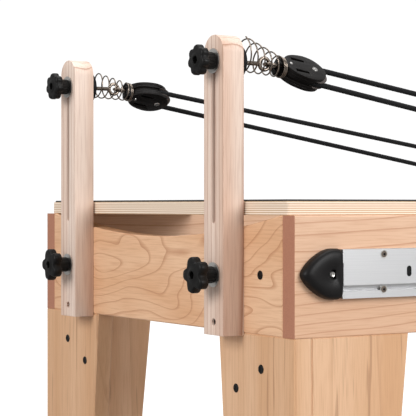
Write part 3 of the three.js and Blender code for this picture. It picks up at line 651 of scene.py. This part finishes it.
for side, sign in SIDES:
    carrier = f"pulley_carrier_{side}"
    level = Vector((head_x, sign * RISER_OFFSET * MM, frame_top + STEM_HEIGHT[side] * MM))
    shank = turn(f"clamp_bolt_{side}", [(2.2, -34), (3, -33.4), (3, 38.5), (2.2, 40.5)],
                 facing(level, (1, 0, 0)), 28)
    new_piece(shank.name, shank, nickel, carrier, "nickel_steel", f"pulley_stem_{side}")
    eye_centre = level + Vector((48 * MM, 0, 0))
    eye = wire(f"bolt_eye_{side}", hoop(eye_centre, Vector((1, 0, 0)), Vector((0, 0, 1)), 8), 2.5, 14, True)
    new_piece(eye.name, eye, nickel, carrier, "nickel_steel")
    nut = turn(f"bolt_nut_{side}", [(3.1, 8), (5.4, 8), (5.8, 8.6), (5.8, 12.4), (5.4, 13), (3.1, 13)],
               facing(level, (1, 0, 0)), 6)
    new_piece(nut.name, nut, nickel, carrier, "nickel_steel")
    disc = turn(f"rubber_disc_{side}", [(3.2, 0.4), (23, 0.4), (24, 1.2), (24, 4.2), (22.6, 6.2), (18, 7.4),
                                        (10, 8.2), (3.2, 8.4)], facing(level, (1, 0, 0)), 56)
    new_piece(disc.name, disc, disc_rubber, carrier, "rubber_mat")

    points = []
    steps = int(SPRING_TURNS * 28)
    for i in range(steps + 1):
        share = i / steps
        # Five open turns, then two and a half close-wound on the pulley's neck
        travel = share / 0.67 * 0.92 if share < 0.67 else 0.92 + (share - 0.67) / 0.33 * 0.08
        x = SPRING_START + (SPRING_END - SPRING_START) * travel
        radius = BIG_COIL[side] + (SMALL_COIL - BIG_COIL[side]) * travel ** 0.85
        drop = -SPRING_LIFT[side] * (1 - travel) + (SPRING_END - 52) * math.tan(PITCH) * travel
        angle = 2 * math.pi * i / 28 + 0.6
        across, upward = radius * math.sin(angle) * sign, radius * math.cos(angle) - drop
        points.append(level + Vector((x, across, upward)) * MM)
    coil = wire(f"cone_spring_{side}", points, 1.05, 10)
    new_piece(coil.name, coil, nickel, f"pulley_block_{side}", "nickel_steel", f"pulley_spring_{side}")


# ---------------------------------------------------------------------------------------------
# Pulley blocks. Two moulded nylon cheeks riveted to a horseshoe wall, a loose sheave between
# them on a steel pin, and a shackle that links the neck to the eyebolt.

block_nylon = moulded_black("block_nylon", "#0F0D0D", "#181514", roughness=0.34)
sheave_nylon = moulded_black("sheave_nylon", "#4A4442", "#5A524F", roughness=0.4)
rivet_steel = zinc_steel("rivet", "#E4E2DF", "#B8B5B1", roughness=0.25)
NECK_START, NECK_END, NECK_HALF = 14, 24, 6
BLOCK_HALF, SHOULDER, NOSE_HALF, CHEEK_REACH, SHEAVE_REACH = 24.5, 60, 7, 90, 74
CHEEK, WALL_HEIGHT = 4.5, 13
SHEAVE_ROOM = 22.5              # radius of the hollow that the sheave turns in
ROPE_PITCH = 17.5               # sheave centre to rope centre


def bezier(p0, p1, p2, steps=8):
    """Points on a curve that leaves p0 and reaches p2, drawn towards p1; p0 is left out."""
    points = []
    for i in range(1, steps + 1):
        t = i / steps
        start, pull, finish_at = (1 - t) ** 2, 2 * t * (1 - t), t * t
        points.append(tuple(start * a + pull * b + finish_at * c for a, b, c in zip(p0, p1, p2)))
    return points


def block_outline(inset=0.0):
    """One cheek seen from above: a short neck, wide shoulders and a narrow rounded nose."""
    half = BLOCK_HALF - inset
    side_line = [(NECK_START + inset, -NECK_HALF), (NECK_END + inset, -NECK_HALF)]
    neck_corner, neck_pull = (NECK_END + inset, -NECK_HALF), (NECK_END + 8 + inset, -half * 0.9)
    side_line += bezier(neck_corner, neck_pull, (SHOULDER, -half), 10)
    side_line += bezier((SHOULDER, -half), (CHEEK_REACH - 8, -half), (CHEEK_REACH, -NOSE_HALF), 10)
    side_line.append((CHEEK_REACH + 1.5, -NOSE_HALF + 3))
    return side_line + [(x, -y) for x, y in reversed(side_line)]


def horseshoe(inset):
    """The wall between the cheeks: the block's outline less the room for the sheave and rope."""
    reach = 4 + 2 * inset
    outer = [(x, y) for x, y in block_outline(inset) if x < SHEAVE_REACH - reach]
    swing = math.degrees(math.acos(-reach / SHEAVE_ROOM))
    inner = arc(SHEAVE_REACH, 0, SHEAVE_ROOM, 360 - swing, swing, 24)
    split = next(i for i, (x, y) in enumerate(outer) if y > 0)
    return outer[:split] + inner + outer[split:]


def window(x0, x1, y0, y1):
    return [(x0, y0), (x1, y0 + 1), (x1, y1 - 1), (x0, y1)]


for side, sign in SIDES:
    body = f"pulley_block_{side}"
    place = Matrix.Translation(pivots[side]) @ Matrix.Rotation(PITCH, 4, "Y")
    place = place @ Matrix.Rotation(math.radians(ROLL[side]), 4, "X")
    windows = [window(38, 60, 8.8, 14.8), window(38, 60, -14.8, -8.8)]
    lift = WALL_HEIGHT / 2 + CHEEK / 2
    for label, way in (("upper", 1), ("lower", -1)):
        mesh = plate(f"pulley_cheek_{label}_{side}", [block_outline()] + windows, CHEEK,
                     place @ Matrix.Translation((0, 0, way * lift * MM)), edge=1.3)
        new_piece(mesh.name, mesh, block_nylon, body, "pulley_plastic", body)
    # The wall's middle third is set back, which leaves a long recess round the block
    wall_layers = (("upper", 0.4, 3.5, 4.75), ("middle", 2.6, 6, 0), ("lower", 0.4, 3.5, -4.75))
    for label, inset, thickness, shift in wall_layers:
        wall = plate(f"pulley_wall_{label}_{side}", [horseshoe(inset)], thickness,
                     place @ Matrix.Translation((0, 0, shift * MM)), edge=0.4, edge_steps=2)
        new_piece(wall.name, wall, block_nylon, body, "pulley_plastic")
    for i, (x, size) in enumerate(((SHEAVE_REACH, 4.2), (34, 2.4))):
        top = WALL_HEIGHT / 2 + CHEEK
        profile = [(size * 0.4, -top - 1.1), (size * 0.85, -top - 0.9), (size, -top - 0.1),
                   (size * 0.5, -top), (size * 0.5, top), (size, top + 0.1), (size * 0.85, top + 0.9),
                   (size * 0.4, top + 1.1)]
        if i == 0:
            profile = [(r if abs(h) > top + 0.05 else 3.0, h) for r, h in profile]
        rivet = turn(f"pulley_rivet_{side}_{i}", profile, place @ Matrix.Translation((x * MM, 0, 0)), 32)
        new_piece(rivet.name, rivet, rivet_steel, body, "nickel_steel")
    shackle_frame = Matrix.Translation(pivots[side]) @ Matrix.Rotation(PITCH, 4, "Y")
    rim = [shackle_frame @ p for p in hoop(Vector((6.5 * MM, 0, 0)), Vector((1, 0, 0)), Vector((0, 1, 0)), 9)]
    shackle = wire(f"shackle_{side}", rim, 2, 14, True)
    new_piece(shackle.name, shackle, nickel, body, "nickel_steel")

    groove = [(ROPE_PITCH - 4.5 * math.cos(math.radians(a)), 4.5 * math.sin(math.radians(a)))
              for a in range(-90, 91, 15)]
    rim_profile = ([(3.3, -5.9), (21.2, -5.9), (22, -5.3), (22, -4.9), (21.4, -4.5)] + groove
                   + [(21.4, 4.5), (22, 4.9), (22, 5.3), (21.2, 5.9), (3.3, 5.9)])
    sheave_place = place @ Matrix.Translation((SHEAVE_REACH * MM, 0, 0))
    rings = []
    for radius, height in rim_profile:
        rings.append([sheave_place @ p for p in
                      hoop(Vector((0, 0, height * MM)), Vector((1, 0, 0)), Vector((0, 1, 0)), radius, 64)])
    wheel = skin(f"sheave_wheel_{side}", rings, closed=True)
    new_piece(wheel.name, wheel, sheave_nylon, f"sheave_{side}", "sheave_plastic", f"sheave_{side}")


# ---------------------------------------------------------------------------------------------
# Ropes. Black 8 mm braided polyester, doubled round each sheave: one end in the cleat, the other
# on the hand loop. The half turn stays on the sheave; the two runs are drawn at one length on the
# pulley block, though on the real machine they shorten with the carriage.

def braided_polyester():
    # Spun polyester yarn: matt black, with a broken surface where the strands cross
    material, tree, shader = finish("braided_polyester", 0.75, ior=1.5)
    place = put(tree, "TexCoord").outputs["Object"]
    plait = put(tree, "TexNoise", {"Vector": place, "Scale": 800.0, "Detail": 3.0})
    colour = put(tree, "Mix", {0: plait.outputs["Fac"], 6: paint("#070708"), 7: paint("#19191B")},
                 data_type="RGBA")
    shader.inputs["Sheen Weight"].default_value = 0.05
    shader.inputs["Specular IOR Level"].default_value = 0.16
    tree.links.new(colour.outputs[2], shader.inputs["Base Color"])
    bump = put(tree, "Bump", {"Height": plait.outputs["Fac"], "Strength": 0.6, "Distance": 0.4 * MM})
    tree.links.new(bump.outputs[0], shader.inputs["Normal"])
    return material


ROPE_RADIUS = 4.0
PLAIT_STEP = 2.0          # mm along the rope from one section to the next
PLAIT_LENGTH = 26.0       # mm along the rope for one strand to go once round


def braid(name, points):
    """A plaited tube: sixteen strands, half winding each way, stand a little proud where they cross."""
    run = [points[0]]
    for a, b in zip(points, points[1:]):
        pieces = max(1, round((b - a).length / (PLAIT_STEP * MM)))
        run += [a.lerp(b, (i + 1) / pieces) for i in range(pieces)]
    sides = 16
    normal = (run[1] - run[0]).orthogonal().normalized()
    travelled = 0.0
    rings = []
    for i, point in enumerate(run):
        tangent = (run[min(i + 1, len(run) - 1)] - run[max(i - 1, 0)]).normalized()
        if i:
            travelled += (point - run[i - 1]).length / MM
        normal = (normal - tangent * normal.dot(tangent)).normalized()
        other = tangent.cross(normal)
        ring = []
        for j in range(sides):
            angle = 2 * math.pi * j / sides
            wind = 2 * math.pi * travelled / PLAIT_LENGTH
            proud = max(math.cos(4 * (angle + wind)), math.cos(4 * (angle - wind)))
            radius = ROPE_RADIUS - 0.35 + 0.32 * proud
            ring.append(point + (normal * math.cos(angle) + other * math.sin(angle)) * radius * MM)
        rings.append(ring)
    return skin(name, rings)


rope_black = braided_polyester()
for side, sign in SIDES:
    body = f"pulley_block_{side}"
    place = Matrix.Translation(pivots[side]) @ Matrix.Rotation(PITCH, 4, "Y")
    place = place @ Matrix.Rotation(math.radians(ROLL[side]), 4, "X")
    low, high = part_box(f"rope_{side}")
    cleat_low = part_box(f"rope_cleat_{side}")[0]
    wrap = []
    for i in range(25):
        angle = math.radians(90 + 180 * i / 24)
        along, across = SHEAVE_REACH + ROPE_PITCH * math.cos(angle), ROPE_PITCH * math.sin(angle)
        wrap.append(place @ (Vector((along, across, 0)) * MM))
    if sign > 0:
        wrap.reverse()
    upper_end = Vector((high[0] - 0.5 * MM, wrap[0].y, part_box("carriage_deck")[1][2] + 20 * MM))
    lower_end = Vector((cleat_low[0] - 1.2 * MM, wrap[-1].y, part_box("carriage_deck")[1][2] + 7 * MM))
    half_turn = braid(f"rope_wrap_{side}", wrap)
    new_piece(half_turn.name, half_turn, rope_black, body, "braided_rope", f"rope_{side}")
    for label, start, end in (("upper", wrap[0], upper_end), ("lower", wrap[-1], lower_end)):
        name = f"rope_{label}_run_{side}"
        run = new_piece(name, braid(name, [start, end]), rope_black, body, "braided_rope")
        reach = end.x - start.x
        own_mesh(run)


# ---------------------------------------------------------------------------------------------
# Running gear under the carriage. Black polyurethane-tyred wheels on steel axles with hexagonal
# caps, and a powder-coated spring bar across the frame that the carriage springs hook on.

tyre = moulded_black("polyurethane_tyre", "#2A2A2E", "#38383C", roughness=0.5, grit=500.0)
bar_paint = moulded_black("powder_coat", "#1E1E20", "#2A2A2D", roughness=0.45, grit=900.0)
clothe(bar_paint, "spring_bar")
for side, sign in SIDES:
    for end in ("head", "foot"):
        low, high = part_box(f"carriage_wheel_{end}_{side}")
        centre = (Vector(low) + Vector(high)) / 2
        half = (high[1] - low[1]) / 2 / MM
        radius = (high[2] - low[2]) / 2 / MM
        rim_profile = [(4.3, -half + 1), (9, -half + 1), (10, -half), (radius - 3, -half),
                       (radius - 1, -half + 0.8), (radius, -half + 3), (radius, half - 3),
                       (radius - 1, half - 0.8), (radius - 3, half), (10, half), (9, half - 1),
                       (4.3, half - 1)]
        rings = []
        for reach, across in rim_profile:
            ring_centre = centre + Vector((0, across * MM, 0))
            rings.append(hoop(ring_centre, Vector((1, 0, 0)), Vector((0, 0, 1)), reach, 56))
        wheel = skin(f"wheel_{end}_{side}_tyre", rings, closed=True)
        new_piece(wheel.name, wheel, tyre, f"wheel_{end}_{side}", "wheel_plastic",
                  f"carriage_wheel_{end}_{side}")
        at = centre + Vector((0, sign * (half - 0.5) * MM, 0))
        cap = turn(f"axle_cap_{end}_{side}", [(3, 1.6), (5.5, 1.2), (6.4, 0.4), (6.4, -0.4), (4.2, -0.6)],
                   facing(at, (0, sign, 0)), 6)
        new_piece(cap.name, cap, screw_steel, f"wheel_{end}_{side}", "nickel_steel")


# ---------------------------------------------------------------------------------------------
# Upholstery: carriage pad, headrest and shoulder rests. Foam on plywood bases under black grained
# vinyl, seamed round the sides with a piped welt.

def grained_vinyl():
    # Coated upholstery vinyl: dull sheen broken up by an embossed leather grain
    material, tree, shader = finish("grained_vinyl", 0.5, ior=1.5)
    place = put(tree, "TexCoord").outputs["Object"]
    # Leather-like cells 1.6 mm across
    cells = put(tree, "TexVoronoi", {"Vector": place, "Scale": 620.0}, feature="DISTANCE_TO_EDGE")
    cell_edge = put(tree, "MapRange", {0: cells.outputs["Distance"], 1: 0.0, 2: 0.12})
    cloud = put(tree, "TexNoise", {"Vector": place, "Scale": 14.0, "Detail": 3.0})
    colour = put(tree, "Mix", {0: cloud.outputs["Fac"], 6: paint("#1D1D1F"), 7: paint("#2C2C2F")},
                 data_type="RGBA")
    tree.links.new(colour.outputs[2], shader.inputs["Base Color"])
    bump = put(tree, "Bump", {"Height": cell_edge.outputs[0], "Strength": 0.35, "Distance": 0.3 * MM})
    tree.links.new(bump.outputs[0], shader.inputs["Normal"])
    return material


def rounded_plan(half_x, half_y, corner, steps=8):
    points = []
    for cx, cy, start in ((half_x - corner, half_y - corner, 0), (corner - half_x, half_y - corner, 90),
                          (corner - half_x, corner - half_y, 180), (half_x - corner, corner - half_y, 270)):
        points += arc(cx, cy, corner, start, start + 90, steps)
    return points


def cushion(name, node, inset=4.0, voxel=6.0, cap=5.0):
    """A foam block that swells inside its cover: an even shell, blown up as cloth, then smoothed."""
    low, high = (Vector(c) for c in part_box(node))
    size = (high - low) / MM
    middle = (low + high) / 2
    rings = []
    profile = ((0.0, 3.5), (0.08, 1.0), (0.2, 0), (0.8, 0), (0.93, 1.5), (1.0, 6.0))
    for share, pull in profile:
        z = middle.z + (share - 0.5) * (size.z - 1.2 * inset) * MM
        plan = rounded_plan(size.x / 2 - inset - pull, size.y / 2 - inset - pull, 16)
        rings.append([Vector((middle.x + x * MM, middle.y + y * MM, z)) for x, y in plan])
    mesh = skin(name, rings)
    piece = bpy.data.objects.new(name, mesh)
    bpy.context.scene.collection.objects.link(piece)
    remesh = piece.modifiers.new("even", "REMESH")
    remesh.mode = "VOXEL"
    remesh.voxel_size = voxel * MM
    graph = bpy.context.evaluated_depsgraph_get()
    even = bpy.data.meshes.new_from_object(piece.evaluated_get(graph))
    piece.modifiers.clear()
    piece.data = even
    rest = [v.co.copy() for v in even.vertices]
    cloth = piece.modifiers.new("cover", "CLOTH")
    cloth.settings.use_pressure = True
    cloth.settings.uniform_pressure_force = 4
    cloth.settings.effector_weights.gravity = 0
    cloth.settings.quality = 4
    scene = bpy.context.scene
    for step in range(1, 21):
        scene.frame_set(step)
    graph = bpy.context.evaluated_depsgraph_get()
    blown = bpy.data.meshes.new_from_object(piece.evaluated_get(graph))
    for vertex, start in zip(blown.vertices, rest):
        move = vertex.co - start
        if move.length > cap * MM:
            vertex.co = start + move * (cap * MM / move.length)
    piece.modifiers.clear()
    piece.data = blown
    scene.frame_set(1)
    floor = low.z + 0.2 * MM
    for vertex in piece.data.vertices:
        vertex.co.z = max(vertex.co.z, floor)
    smooth = piece.modifiers.new("smooth", "SUBSURF")
    smooth.levels = smooth.render_levels = 1
    piece.data.shade_smooth()
    return piece


vinyl = grained_vinyl()
UPHOLSTERY = {
    "carriage_pad": ("carriage", 5.0),
    "headrest": ("headrest", 4.0),
    "shoulder_rest_right": ("carriage", 4.0),
    "shoulder_rest_left": ("carriage", 4.0),
}
for node, (body, cap) in UPHOLSTERY.items():
    piece = cushion(f"{node}_cushion", node, voxel=6.0 if node == "carriage_pad" else 5.0, cap=cap)
    piece.data.materials.clear()
    piece.data.materials.append(vinyl)
    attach(piece, body)
    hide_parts(node)
    # Piped welts near the bottom and top of the side, standing 1 mm proud of the cover
    low, high = (Vector(c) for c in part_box(node))
    size = (high - low) / MM
    middle = (low + high) / 2
    heights = (0.14, 0.86) if size.z < 60 else (0.06, 0.94)
    for i, share in enumerate(heights):
        z = low.z + share * size.z * MM
        plan = rounded_plan(size.x / 2 - 3.6, size.y / 2 - 3.6, 17, 10)
        path = [Vector((middle.x + x * MM, middle.y + y * MM, z)) for x, y in plan]
        welt = wire(f"{node}_welt_{i}", path, 2.0, 10, True)
        new_piece(welt.name, welt, vinyl, body, "vinyl")


# ---------------------------------------------------------------------------------------------
# Hand loops and cleats. Woven 40 mm webbing loops are kept over the shoulder rests; a steel ring
# joins each to its rope. The other rope end is held in a black cleat on the deck.

def woven_webbing():
    # Twill ribs 1.5 mm apart, drawn twice as coarse as the yarn so that they show
    material, tree, shader = finish("woven_webbing", 0.8, ior=1.5)
    place = put(tree, "TexCoord").outputs["Object"]
    ribs = put(tree, "TexWave", {"Vector": place, "Scale": 2 * math.pi / (10 * 3 * MM), "Distortion": 0.6},
               wave_type="BANDS", bands_direction="DIAGONAL")
    colour = put(tree, "Mix", {0: ribs.outputs["Fac"], 6: paint("#151516"), 7: paint("#38383B")},
                 data_type="RGBA")
    shader.inputs["Sheen Weight"].default_value = 0.3
    tree.links.new(colour.outputs[2], shader.inputs["Base Color"])
    bump = put(tree, "Bump", {"Height": ribs.outputs["Fac"], "Strength": 0.5, "Distance": 0.5 * MM})
    tree.links.new(bump.outputs[0], shader.inputs["Normal"])
    return material


webbing = woven_webbing()
clothe(knob_black, "rope_cleat_right", "rope_cleat_left")
for side, sign in SIDES:
    low, high = (Vector(c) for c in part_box(f"hand_loop_{side}"))
    size = (high - low) / MM
    middle = (low + high) / 2
    outer = rounded_plan(size.x / 2 - 0.2, size.y / 2 - 0.2, 20, 12)
    inner = rounded_plan(size.x / 2 - 2.6, size.y / 2 - 2.6, 17.6, 12)
    strap = plate(f"hand_strap_{side}", [outer, inner], size.z, Matrix.Translation(middle), edge=0.7)
    new_piece(strap.name, strap, webbing, "carriage", "webbing", f"hand_loop_{side}")
    rope_y = sign * (RISER_OFFSET - ROPE_PITCH * math.cos(math.radians(ROLL[side]))) * MM
    tab_centre = Vector((low.x + 0.4 * MM, rope_y, middle.z))
    tab = plate(f"hand_strap_tab_{side}", [rounded_plan(9, 15, 3, 4)], 3.0,
                Matrix.Translation(tab_centre) @ END_WISE, edge=0.8)
    new_piece(tab.name, tab, webbing, "carriage", "webbing")
    ring_centre = tab_centre + Vector((-5.5 * MM, 0, 0))
    circle = hoop(ring_centre, Vector((1, 0, 0)), Vector((0, 1, 0)), 7.5)
    ring = wire(f"loop_ring_{side}", circle, 1.8, 12, True)
    new_piece(ring.name, ring, nickel, "carriage", "nickel_steel")
    knot_centre = ring_centre + Vector((-9 * MM, 0, 1 * MM))
    turns = []
    for i in range(57):
        angle = 2 * math.pi * i / 14
        turns.append(knot_centre + Vector((-i * 0.28, 6.2 * math.cos(angle), 6.2 * math.sin(angle))) * MM)
    knot = wire(f"rope_whipping_{side}", turns, 1.3, 8)
    new_piece(knot.name, knot, rope_black, "carriage", "braided_rope")
    low, high = (Vector(c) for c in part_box(f"rope_cleat_{side}"))
    for i, share in enumerate((0.22, 0.78)):
        at = Vector((low.x + share * (high.x - low.x), (low.y + high.y) / 2, high.z))
        profile = [(1.0, -0.2), (1.3, 0.5), (3.0, 0.7), (3.6, 0.2), (3.6, -0.8)]
        screw = turn(f"cleat_screw_{side}_{i}", profile, facing(at, (0, 0, 1)), 28)
        new_piece(screw.name, screw, screw_steel, "carriage", "nickel_steel")


# ---------------------------------------------------------------------------------------------
# Carriage springs. Close-wound coil springs between the spring bar and the carriage's rear beam.
# Their hooked ends are drawn as straight wire, and they stand at one length, though the real ones
# stretch as the carriage rolls away.

for i in range(1, 5):
    low, high = (Vector(c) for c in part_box(f"carriage_spring_{i}"))
    middle = (low + high) / 2
    start, end = low.x + 26 * MM, high.x - 26 * MM
    turns, steps = 52, 14
    points = [Vector((low.x + 2 * MM, middle.y, middle.z)), Vector((start - 4 * MM, middle.y, middle.z))]
    for k in range(turns * steps + 1):
        share = k / (turns * steps)
        angle = 2 * math.pi * k / steps
        grow = min(1.0, 8 * share, 8 * (1 - share))
        reach = (5 + 6.4 * grow) * MM
        points.append(Vector((start + share * (end - start), middle.y + reach * math.sin(angle),
                              middle.z + reach * math.cos(angle))))
    points += [Vector((end + 4 * MM, middle.y, middle.z)), Vector((high.x - 2 * MM, middle.y, middle.z))]
    coil = bpy.data.objects.new(f"resistance_spring_{i}", wire(f"resistance_spring_{i}", points, 1.7, 8))
    bpy.context.scene.collection.objects.link(coil)
    coil.data.materials.append(nickel)
    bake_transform(coil)
    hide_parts(f"carriage_spring_{i}")


# ---------------------------------------------------------------------------------------------
# Footbar. A bent 32 mm steel tube, powder-coated, with a black foam sleeve over its crossbar and
# a pivot bolt through each leg.

clothe(bar_paint, "footbar")


def foam_sleeve():
    # Closed-cell foam, 0.8 mm pores
    material, tree, shader = finish("foam_sleeve", 0.85, ior=1.45)
    place = put(tree, "TexCoord").outputs["Object"]
    pores = put(tree, "TexVoronoi", {"Vector": place, "Scale": 1250.0})
    cloud = put(tree, "TexNoise", {"Vector": place, "Scale": 30.0, "Detail": 2.0})
    colour = put(tree, "Mix", {0: cloud.outputs["Fac"], 6: paint("#161617"), 7: paint("#232325")},
                 data_type="RGBA")
    tree.links.new(colour.outputs[2], shader.inputs["Base Color"])
    bump = put(tree, "Bump", {"Height": pores.outputs["Distance"], "Strength": 0.4, "Distance": 0.3 * MM})
    tree.links.new(bump.outputs[0], shader.inputs["Normal"])
    return material


bar_low, bar_high = (Vector(c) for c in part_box("footbar"))
TUBE = 16 * MM
# The crossbar's middle, a tube radius in from the box's top and far faces along the bar's lean
cross_x, cross_z = bar_high.x - TUBE, bar_high.z - TUBE
half_bar = (bar_high.y - bar_low.y) / 2 - 110 * MM
profile = [(16.1, -half_bar / MM), (17.2, -half_bar / MM + 0.8), (17.4, -half_bar / MM + 3),
           (17.4, half_bar / MM - 3), (17.2, half_bar / MM - 0.8), (16.1, half_bar / MM)]
sleeve = turn("footbar_sleeve", profile, facing(Vector((cross_x, 0, cross_z)), (0, 1, 0)), 48)
new_piece(sleeve.name, sleeve, foam_sleeve(), "footbar", "rubber_mat")

for side, sign in SIDES:
    low, high = (Vector(c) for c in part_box(f"footbar_slider_{side}"))
    middle = (low + high) / 2
    outside = sign * (bar_high.y - 0.4 * MM)
    at = Vector((middle.x, outside, middle.z))
    bolt = turn(f"pivot_bolt_{side}", [(3, 3.6), (6.6, 3.6), (7.4, 2.8), (7.4, 0), (3, 0)],
                facing(at, (0, sign, 0)), 6)
    new_piece(bolt.name, bolt, screw_steel, "footbar", "nickel_steel")


# ---------------------------------------------------------------------------------------------
# Studio. A plain pale floor under a bright sky, with three large soft lights: in front, off the
# head end and above. The camera looks level along the near rail from the head end.

floor_mesh = bpy.data.meshes.new("studio_floor")
floor_mesh.from_pydata([(-40, -40, 0), (40, -40, 0), (40, 40, 0), (-40, 40, 0)], [], [(0, 1, 2, 3)])
floor = bpy.data.objects.new("studio_floor", floor_mesh)
bpy.context.scene.collection.objects.link(floor)
floor_paint, _, floor_shader = finish("studio_floor", 0.9)
floor_shader.inputs["Base Color"].default_value = paint("#9A9A9A")
floor_mesh.materials.append(floor_paint)

world = bpy.data.worlds.new("studio")
world.use_nodes = True
bpy.context.scene.world = world
sky = world.node_tree.nodes["Background"]
sky.inputs["Color"].default_value = (1, 1, 1, 1)
# The sky lights the piece at less than its shown brightness, so that the lamps can shape it
seen = put(world.node_tree, "LightPath").outputs["Is Camera Ray"]
shown = put(world.node_tree, "MapRange", {0: seen, 3: 0.5, 4: 1.05})
world.node_tree.links.new(shown.outputs[0], sky.inputs["Strength"])
# The floor glows to the camera alone: it shows pale, and throws no light of its own on the piece
floor_tree = floor_paint.node_tree
floor_seen = put(floor_tree, "LightPath").outputs["Is Camera Ray"]
floor_glow = put(floor_tree, "MapRange", {0: floor_seen, 3: 0.0, 4: 0.9})
floor_shader.inputs["Emission Color"].default_value = (1, 1, 1, 1)
floor_tree.links.new(floor_glow.outputs[0], floor_shader.inputs["Emission Strength"])


def soft_light(name, location, target, size, power):
    lamp = bpy.data.lights.new(name, "AREA")
    lamp.shape = "SQUARE"
    lamp.size = size
    lamp.energy = power
    holder = bpy.data.objects.new(name, lamp)
    bpy.context.scene.collection.objects.link(holder)
    holder.location = location
    holder.rotation_mode = "QUATERNION"
    holder.rotation_quaternion = (Vector(target) - Vector(location)).to_track_quat("-Z", "Y")


aim = (head_x, 0, frame_top)
soft_light("front_light", (head_x + 1.6, -4.2, 2.2), aim, 2.4, 158)
soft_light("head_light", (head_x - 3.8, -0.6, 1.9), aim, 2.0, 98)
soft_light("top_light", (head_x + 0.6, 0.3, 4.2), aim, 3.0, 84)

eye = Vector((head_x - 1.108, -1.924, frame_top + 0.012))
camera_data = bpy.data.cameras.new("camera")
camera_data.sensor_width = 36
camera_data.lens = 133.6
camera_data.clip_end = 200
camera = bpy.data.objects.new("camera", camera_data)
camera.location = eye
camera.rotation_euler = (math.radians(89.926), 0, math.radians(-31.93))
bpy.context.scene.collection.objects.link(camera)
bpy.context.scene.camera = camera
bpy.context.scene.view_settings.view_transform = "Standard"

bpy.context.view_layer.update()
